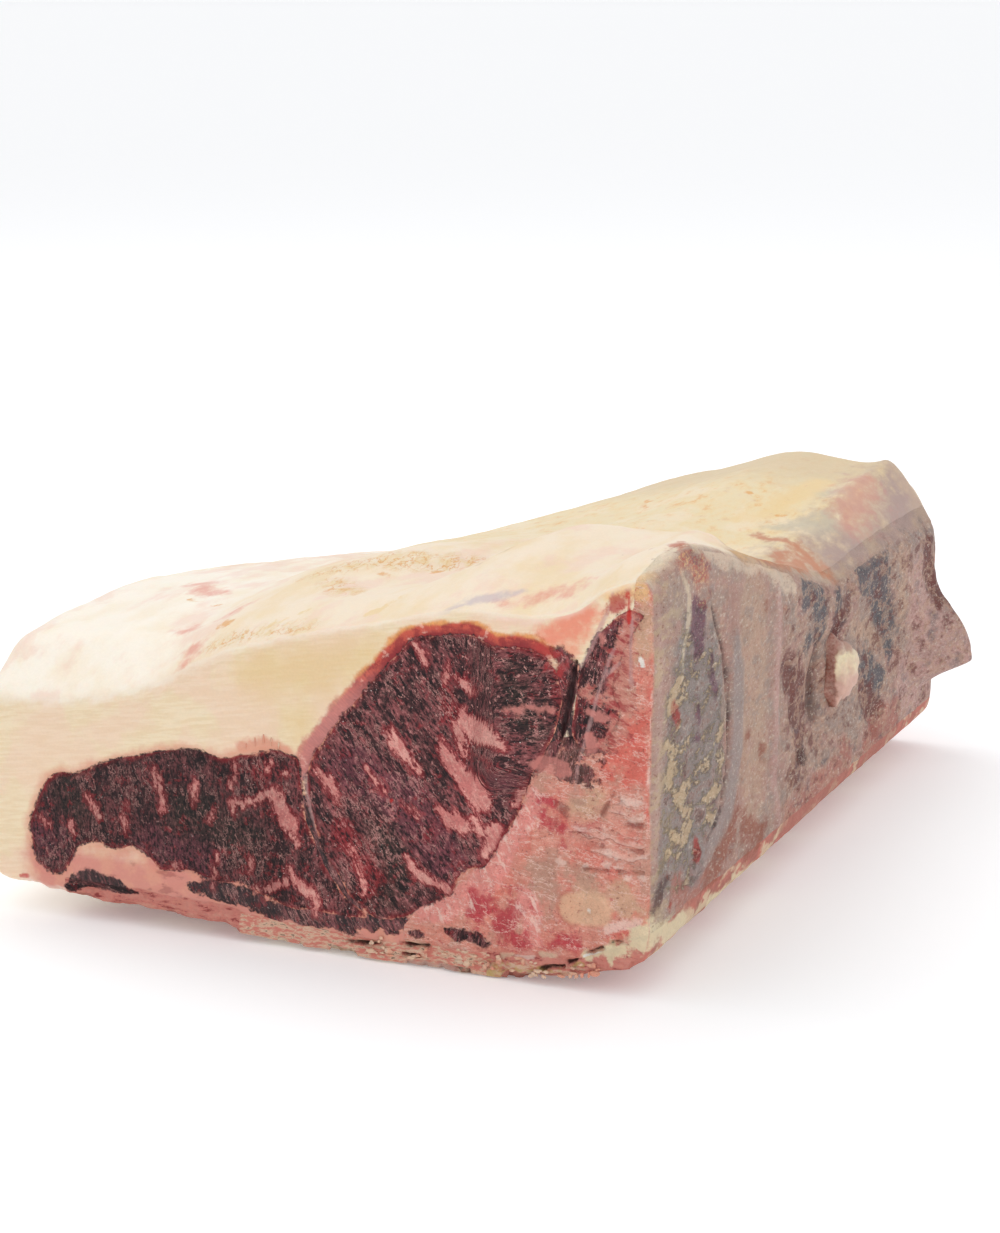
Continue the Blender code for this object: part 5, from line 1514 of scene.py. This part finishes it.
class SirloinTones(bpy.types.PropertyGroup):
    lean: seen("Lean", "Dried lean", 124, 68, 69)
    lean_dark: seen("Dark lean", "Lean in its darker clouds", 56, 31, 33)
    lean_black: seen("Lean gaps", "Gaps between fibres", 24, 13, 17)
    lean_mauve: seen("Lean fibres", "Fibres that catch the light", 176, 112, 110)
    lean_purple: seen("Purple lean", "Lean that has kept its purple", 110, 56, 66)
    lean_red: seen("Red lean", "Fresh red beside fat", 134, 36, 42)
    weathered_lean: seen("Weathered lean", "Greenish brown dried lean", 50, 44, 38)
    # Also painted glints: pale streaks over the lean.
    thread_fat: seen("Threads", "Threads of fat between fibres", 200, 144, 136)
    smeared_fat: seen("Smeared fat", "Pink fat smeared over lean", 205, 130, 120)
    fleck: seen("Fleck", "Light marbling", 216, 158, 146)
    fleck_pink: seen("Pink fleck", "Pinker marbling", 196, 118, 112)
    # Painted shade in the deep cleft.
    cleft_dark: seen("Cleft", "The deep cleft beside the eye", 46, 14, 18)
    scarlet: seen("Scarlet", "Small bright blood spots", 190, 40, 35)
    # Also painted highlight: glints on the lean and a light line along the rounded edges of the cut ends.
    chalk: seen("Chalk", "White specks of sinew", 245, 240, 230)
    cream: seen("Cream", "Fat outside", 241, 222, 196)
    butter: seen("Butter", "Yellower fat outside", 233, 204, 150)
    # Also painted sheen: the glossy patches on the silverskin.
    rose_fat: seen("Rose fat", "Pinkish fat outside", 237, 198, 180)
    aged_fat: seen("Aged fat", "Fat further back", 232, 212, 172)
    amber: seen("Amber", "Orange stains and dried edges", 224, 162, 88)
    rose_stain: seen("Rose stain", "Pink stains on the fat", 224, 142, 122)
    lilac: seen("Lilac", "Grey lilac skin on the fat", 196, 178, 182)
    cut_fat: seen("Cut fat", "Fat at the front cut", 231, 208, 172)
    cut_fat_pale: seen("Pale cut fat", "Paler grain of the cut fat", 240, 223, 194)
    yellow_fat: seen("Yellow fat", "Yellow fat at the front cut", 226, 196, 142)
    coral_fat: seen("Coral fat", "Coral fat over the eye's right end", 232, 138, 112)
    orange_fat: seen("Orange fat", "Orange yellow fat at the top corner", 238, 194, 138)
    root_red: seen("Root red", "Fresh red at the roots of the sinews", 172, 44, 44)
    veil: seen("Veil", "Pale torn skin over the back muscle", 206, 138, 122)
    veil_red: seen("Red veil", "Redder parts of the torn skin", 168, 72, 70)
    fat_white: seen("White fat", "The whitest fat, far from the bone", 251, 242, 228)
    hump_tan: seen("Tan hump", "Tan fat at the back of the top", 214, 190, 152)
    olive_crust: seen("Olive crust", "Olive yellow bits of the crust", 196, 168, 108)
    lean_haze: seen("Lean haze", "Hazes of fat smeared along the lean", 166, 104, 102)
    pink_fat: seen("Pink fat", "Pink fat round the flank muscle", 218, 150, 125)
    pink_fat_low: seen("Low pink fat", "Smooth pink fat at the base", 208, 130, 118)
    silverskin: seen("Silverskin", "Brown red skin beside the eye", 196, 82, 64)
    silverskin_dark: seen("Dark silverskin", "The silverskin's dark hairs", 138, 34, 38)
    silverskin_edge: seen("Silverskin edge", "Amber outer edge of the silverskin", 228, 164, 98)
    silverskin_pink: seen("Pink silverskin", "The silverskin's pinker lower part", 198, 132, 124)
    aged_grey: seen("Aged grey", "Greenish grey patches on the old fat", 196, 184, 160)
    far_slope: seen("Far slope", "Mauve brown slope above the far bones", 172, 142, 132)
    far_mauve: seen("Far mauve", "Mauve grey end of the back slope", 168, 142, 136)
    # Partly painted shade in the hollow behind the near fold.
    valley: seen("Valley", "Yellow orange fat behind the near fold", 222, 172, 104)
    valley_brown: seen("Brown valley", "Orange brown fat above the far bones", 196, 128, 92)
    dry_pale: seen("Dry pale", "Pale crumbs on the dried face", 216, 200, 184)
    sawn_bone: seen("Sawn bone", "Bone at the front cut", 215, 139, 121)
    sawn_bone_pale: seen("Pale sawn bone", "Pale ledges the saw left", 229, 174, 156)
    sawn_bone_grey: seen("Grey sawn bone", "Greyer dense bone", 190, 146, 126)
    coral: seen("Coral", "Coral spongy bone", 216, 104, 90)
    pink_bone: seen("Pink wedge", "Pink fat between eye and bone", 228, 146, 136)
    marrow: seen("Marrow", "Red marrow", 186, 48, 64)
    beige_bone: seen("Beige bone", "Translucent beige bone", 210, 170, 140)
    sinew: seen("Sinew", "Thin pale sinews", 190, 150, 146)
    oval: seen("Oval bone", "Beige oval of hard bone", 226, 184, 150)
    oval_rim: seen("Oval rim", "Red line round the oval", 170, 60, 50)
    # Also painted highlight on the top edges of the peeled ledges.
    saw_edge: seen("Ledge edge", "Edges of the peeled ledges", 240, 208, 194)
    saw_shadow: seen("Ledge shadow", "Under the peeled ledges", 140, 72, 64)
    crumb_crust: seen("Crust", "Pink brown crust at the base", 202, 122, 108)
    crumb_pale: seen("Pale crust", "Pale crumbs of the crust", 218, 184, 158)
    corner_fat: seen("Corner fat", "Cream fat at the base's corner", 228, 212, 176)
    # Painted shade in the gashes and beside the joint facet; elsewhere a dark tone.
    gash_dark: seen("Gash", "Dark gashes", 60, 30, 28)
    dry_bone: seen("Dry bone", "Dried bone along the side", 166, 142, 130)
    dry_pink: seen("Dry pink", "Pinker dried bone", 176, 138, 126)
    dry_panel: seen("Bone panel", "Beige panel of the split bone", 192, 158, 134)
    grey_shoulder: seen("Grey shoulder", "Greyish far shoulder", 150, 136, 130)
    dry_mauve: seen("Dry mauve", "Mauve far end", 198, 158, 150)
    grey_blue: seen("Grey blue", "Grey blue dried cartilage", 140, 133, 129)
    mould: seen("Mould", "Cream crusty bloom", 196, 170, 136)
    edge_pink: seen("Edge pink", "Lilac pink edge strip", 188, 152, 140)
    cream_line: seen("Cream line", "Cream line round the cartilage", 215, 195, 168)
    purple_side: seen("Purple streak", "Purple streak on the side", 110, 70, 84)
    lilac_ridge: seen("Lilac ridge", "Bluish lilac ridge", 152, 138, 134)
    slate: seen("Slate", "Slate blue patches", 70, 74, 83)
    maroon: seen("Maroon", "Maroon flesh on the side", 106, 52, 46)
    rust: seen("Rust", "Rust brown low region", 150, 85, 65)
    raw_rib: seen("Raw rib", "Raw pink bone ends", 178, 112, 98)
    corner_red: seen("Red corner", "Red orange stain on the fat behind the corner", 186, 92, 66)
    stain: seen("Stain", "Red brown stain at the top corner", 130, 70, 50)
    pale_crest: seen("Pale crest", "Whitish crest of the bone", 226, 204, 180)
    # Painted shade along the crease.
    crease: seen("Crease", "Dark crease line", 72, 46, 44)
    blood: seen("Blood", "Blood spots on the side", 165, 50, 40)
    knob_cream: seen("Knob cream", "Top of the joint facet", 225, 210, 176)
    knob_pink: seen("Knob pink", "Lower part of the joint facet", 205, 166, 150)


class SirloinStage(bpy.types.PropertyGroup):
    floor_tone: seen("Floor", "The seamless white floor", 250, 250, 250)
    key_power: bpy.props.FloatProperty(
        name="Key light", description="Power of the soft light above", default=11.52, min=0.0, unit="POWER")
    side_power: bpy.props.FloatProperty(
        name="Side light", description="Power of the soft light on the split face", default=5.77, min=0.0,
        unit="POWER")
    floor_glow: bpy.props.FloatProperty(
        name="Floor glow", description="How much the white floor shines by itself", default=0.16, min=0.0,
        max=1.0)
    fill: bpy.props.FloatProperty(
        name="Fill", description="Strength of the light from all round", default=0.84, min=0.0, max=4.0)


def relief():
    return bpy.context.scene.sirloin_relief


def tone(name):
    return (*getattr(bpy.context.scene.sirloin_tones, name), 1.0)


# ---------------------------------------------------------------- pieces
class SirloinFat(bpy.types.Operator):
    """Adds the fat round the muscles, with its skin"""
    bl_idname = "sirloin.fat"
    bl_label = "Fat cover"

    def execute(self, context):
        whole = whole_joint()
        cutters = [region(CHINE_REGION), region(RIB_REGION), *map(muscle_cutter, MUSCLE_LOOPS)]
        fat = cut("fat", whole, *(("DIFFERENCE", cutter) for cutter in cutters))
        dress(fat, ["fat_cover"], fat_surface())
        forget([whole, *cutters])
        return {"FINISHED"}


class SirloinMuscles(bpy.types.Operator):
    """Adds the three muscles that show at the cut"""
    bl_idname = "sirloin.muscles"
    bl_label = "Muscles"

    def execute(self, context):
        whole = whole_joint()
        for name, (first_turn, second_turn, drawn) in FIBRE_TURNS.items():
            cutter = muscle_cutter(name)
            muscle = cut(name.replace("_muscle", "_lean"), whole, ("INTERSECT", cutter))
            dress(muscle, [name], lean_surface(muscle.name, first_turn, second_turn, drawn))
            forget([cutter])
        forget([whole])
        return {"FINISHED"}


class SirloinBackbone(bpy.types.Operator):
    """Adds the split vertebrae and the ligament between them"""
    bl_idname = "sirloin.backbone"
    bl_label = "Split backbone"

    def execute(self, context):
        whole = whole_joint()
        chine_cut = region(CHINE_REGION)
        others = [region(RIB_REGION), muscle_cutter("eye_muscle"), muscle_cutter("back_muscle")]
        chine = cut("chine", whole, ("INTERSECT", chine_cut), *(("DIFFERENCE", other) for other in others))
        cutters = [vertebra_cutter(number) for number in range(1, VERTEBRAE + 1)]
        surface = split_bone_surface()
        for number, cutter in enumerate(cutters, 1):
            bone = cut(f"split_bone_{number}", chine, ("INTERSECT", cutter))
            dress(bone, [f"vertebra_{number}"], surface)
        ligament = cut("ligament", chine, *(("DIFFERENCE", cutter) for cutter in cutters))
        dress(ligament, ["spine_ligament"], surface)
        forget([whole, chine, chine_cut] + others + cutters)
        return {"FINISHED"}


class SirloinUnderside(bpy.types.Operator):
    """Adds the crust below and the finger bones set in it"""
    bl_idname = "sirloin.underside"
    bl_label = "Underside and finger bones"

    def execute(self, context):
        whole = whole_joint()
        rib_cut = region(RIB_REGION)
        ribs = cut("ribs", whole, ("INTERSECT", rib_cut))
        cutters = [finger_cutter(number) for number in range(1, FINGERS + 1)]
        surface = rib_surface()
        for number, cutter in enumerate(cutters, 1):
            finger = cut(f"finger_{number}", ribs, ("INTERSECT", cutter))
            dress(finger, [f"finger_bone_{number}"], surface)
        crust = cut("crust", ribs, *(("DIFFERENCE", cutter) for cutter in cutters))
        dress(crust, ["underside"], crust_surface())
        forget([whole, ribs, rib_cut] + cutters)
        return {"FINISHED"}


def lump(place, radii, fineness, rough, size, seed):
    """An irregular lump about a place, in centimetres on the joint."""
    mesh = bmesh.new()
    bmesh.ops.create_icosphere(mesh, subdivisions=fineness, radius=1.0)
    unit = np.array([vertex.co for vertex in mesh.verts])
    swell = 1 + rough * grain(unit * radii + place, size, seed, octaves=3)
    for vertex, (x, y, z) in zip(mesh.verts, unit * radii * swell[:, None] + place):
        vertex.co = (x * CM + SECTION_TO_FRAME, y * CM, z * CM)
    return mesh


def joined(meshes):
    """Several closed lumps in one mesh."""
    whole = bmesh.new()
    for mesh in meshes:
        mesh.verts.index_update()
        made = [whole.verts.new(vertex.co) for vertex in mesh.verts]
        for face in mesh.faces:
            whole.faces.new([made[vertex.index] for vertex in face.verts])
        mesh.free()
    return whole


class SirloinCrumbs(bpy.types.Operator):
    """Adds the loose crumbs of bone and fat along the broken front edge"""
    bl_idname = "sirloin.crumbs"
    bl_label = "Crumbs"

    def execute(self, context):
        chance = np.random.default_rng(CRUMB_SEED)
        lumps = []
        for number in range(CRUMBS):
            x = chance.uniform(*CRUMB_SPREAD)
            low = float(smooth_through(PLACES, BOTTOM_FRONT, np.array([x]))[0])
            radii = np.array(SMALL_CRUMB) + chance.uniform(0.0, 1.0, 3) ** 2 * CRUMB_GROWTH
            up = low + CRUMB_LIFT + chance.uniform(0.0, 1.0) ** 1.5 * CRUMB_BAND
            place = (x, FRONT + CRUMB_DEPTH, up)
            lumps.append(lump(place, radii, CRUMB_FINENESS, *CRUMB_LUMPS, CRUMB_NOISE + number))
        for x, z, size in RAGS:
            place = (x, FRONT + CRUMB_DEPTH, z)
            lumps.append(lump(place, (*RAG_RADII, size), CRUMB_FINENESS, *RAG_LUMPS, int(100 * x)))
        crumbs = linked("crumbs", joined(lumps))
        low, high = (np.array(corner) for corner in CAD_BOX)
        set_points(crumbs, np.clip(points_of(crumbs), low, high))
        finish_piece(crumbs, [], crumb_surface())
        return {"FINISHED"}


class SirloinKnob(bpy.types.Operator):
    """Adds the torn joint facet that stands out of the split face"""
    bl_idname = "sirloin.knob"
    bl_label = "Joint facet"

    def execute(self, context):
        y, z = KNOB_PLACE
        middle = (CHINE + KNOB_SINK[0], y, z + KNOB_SINK[1])
        mesh = lump(middle, KNOB_RADII, KNOB_FINENESS, *KNOB_LUMPS, KNOB_SEED)
        knob = linked("torn_facet", mesh)
        recipe = knob_surface()
        keep_field(knob, "height", points_of(knob)[:, 2] / CM)
        keep_field(knob, "rim", (points_of(knob)[:, 0] - SECTION_TO_FRAME) / CM - CHINE)
        finish_piece(knob, ["facet_knob"], recipe)
        return {"FINISHED"}


class SirloinSet(bpy.types.Operator):
    """Adds the camera, the soft light and the white floor"""
    bl_idname = "sirloin.stage"
    bl_label = "Stage"

    def execute(self, context):
        scene = context.scene
        settings = scene.sirloin_stage
        camera = bpy.data.objects.new("camera", bpy.data.cameras.new("camera"))
        scene.collection.objects.link(camera)
        scene.camera = camera
        camera.data.sensor_width = SENSOR_WIDTH
        camera.data.lens = FOCAL_PIXELS * SENSOR_WIDTH / PICTURE_HEIGHT
        camera.data.clip_start = 0.01
        x, y, z = VIEW_FROM
        camera.location = (x * CM + SECTION_TO_FRAME, y * CM, z * CM)
        level = math.cos(VIEW_DIP)
        forward = Vector((-math.sin(VIEW_TURN) * level, math.cos(VIEW_TURN) * level, -math.sin(VIEW_DIP)))
        camera.rotation_euler = forward.to_track_quat("-Z", "Y").to_euler()
        scene.view_settings.view_transform = "Standard"
        world = bpy.data.worlds.new("soft_room")
        world.use_nodes = True
        inputs = world.node_tree.nodes["Background"].inputs
        inputs["Color"].default_value = ROOM_TONE
        inputs["Strength"].default_value = settings.fill
        scene.world = world
        mesh = bmesh.new()
        bmesh.ops.create_grid(mesh, x_segments=1, y_segments=1, size=FLOOR_REACH)
        floor = linked("floor", mesh)
        paper = bpy.data.materials.new("white_paper")
        paper.use_nodes = True
        inputs = paper.node_tree.nodes["Principled BSDF"].inputs
        inputs["Base Color"].default_value = (*settings.floor_tone, 1)
        inputs["Roughness"].default_value = PAPER_ROUGHNESS
        inputs["Emission Color"].default_value = (1, 1, 1, 1)
        inputs["Emission Strength"].default_value = settings.floor_glow
        floor.data.materials.append(paper)
        for name, (power, size, place) in LAMPS.items():
            light = bpy.data.objects.new(name, bpy.data.lights.new(name, "AREA"))
            light.data.size = size
            light.data.energy = getattr(settings, power)
            light.location = place
            light.rotation_euler = (Vector(LAMP_AIM) - light.location).to_track_quat("-Z", "Y").to_euler()
            scene.collection.objects.link(light)
        return {"FINISHED"}


OPERATORS = [SirloinFat, SirloinMuscles, SirloinBackbone, SirloinUnderside, SirloinCrumbs, SirloinKnob,
             SirloinSet]


class SirloinPanel(bpy.types.Panel):
    """Lists the joint's pieces and the sizes and colours they are made with"""
    bl_idname = "VIEW3D_PT_sirloin"
    bl_label = "Sirloin joint"
    bl_space_type = "VIEW_3D"
    bl_region_type = "UI"
    bl_category = "Sirloin"

    def draw(self, context):
        for operator in OPERATORS:
            self.layout.operator(operator.bl_idname)
        for group in GROUPS:
            column = self.layout.column(align=True)
            values = getattr(context.scene, group)
            for name in values.__annotations__:
                column.prop(values, name)


GROUPS = {"sirloin_relief": SirloinRelief, "sirloin_tones": SirloinTones, "sirloin_stage": SirloinStage}
CLASSES = [*GROUPS.values(), *OPERATORS, SirloinPanel]


def register():
    for made in CLASSES:
        bpy.utils.register_class(made)
    for name, group in GROUPS.items():
        setattr(bpy.types.Scene, name, bpy.props.PointerProperty(type=group))


def unregister():
    for name in GROUPS:
        delattr(bpy.types.Scene, name)
    for made in reversed(CLASSES):
        bpy.utils.unregister_class(made)


def main():
    register()
    bpy.ops.sirloin.fat()
    bpy.ops.sirloin.muscles()
    bpy.ops.sirloin.backbone()
    bpy.ops.sirloin.underside()
    bpy.ops.sirloin.crumbs()
    bpy.ops.sirloin.knob()
    bpy.ops.sirloin.stage()


if __name__ == "__main__":
    main()
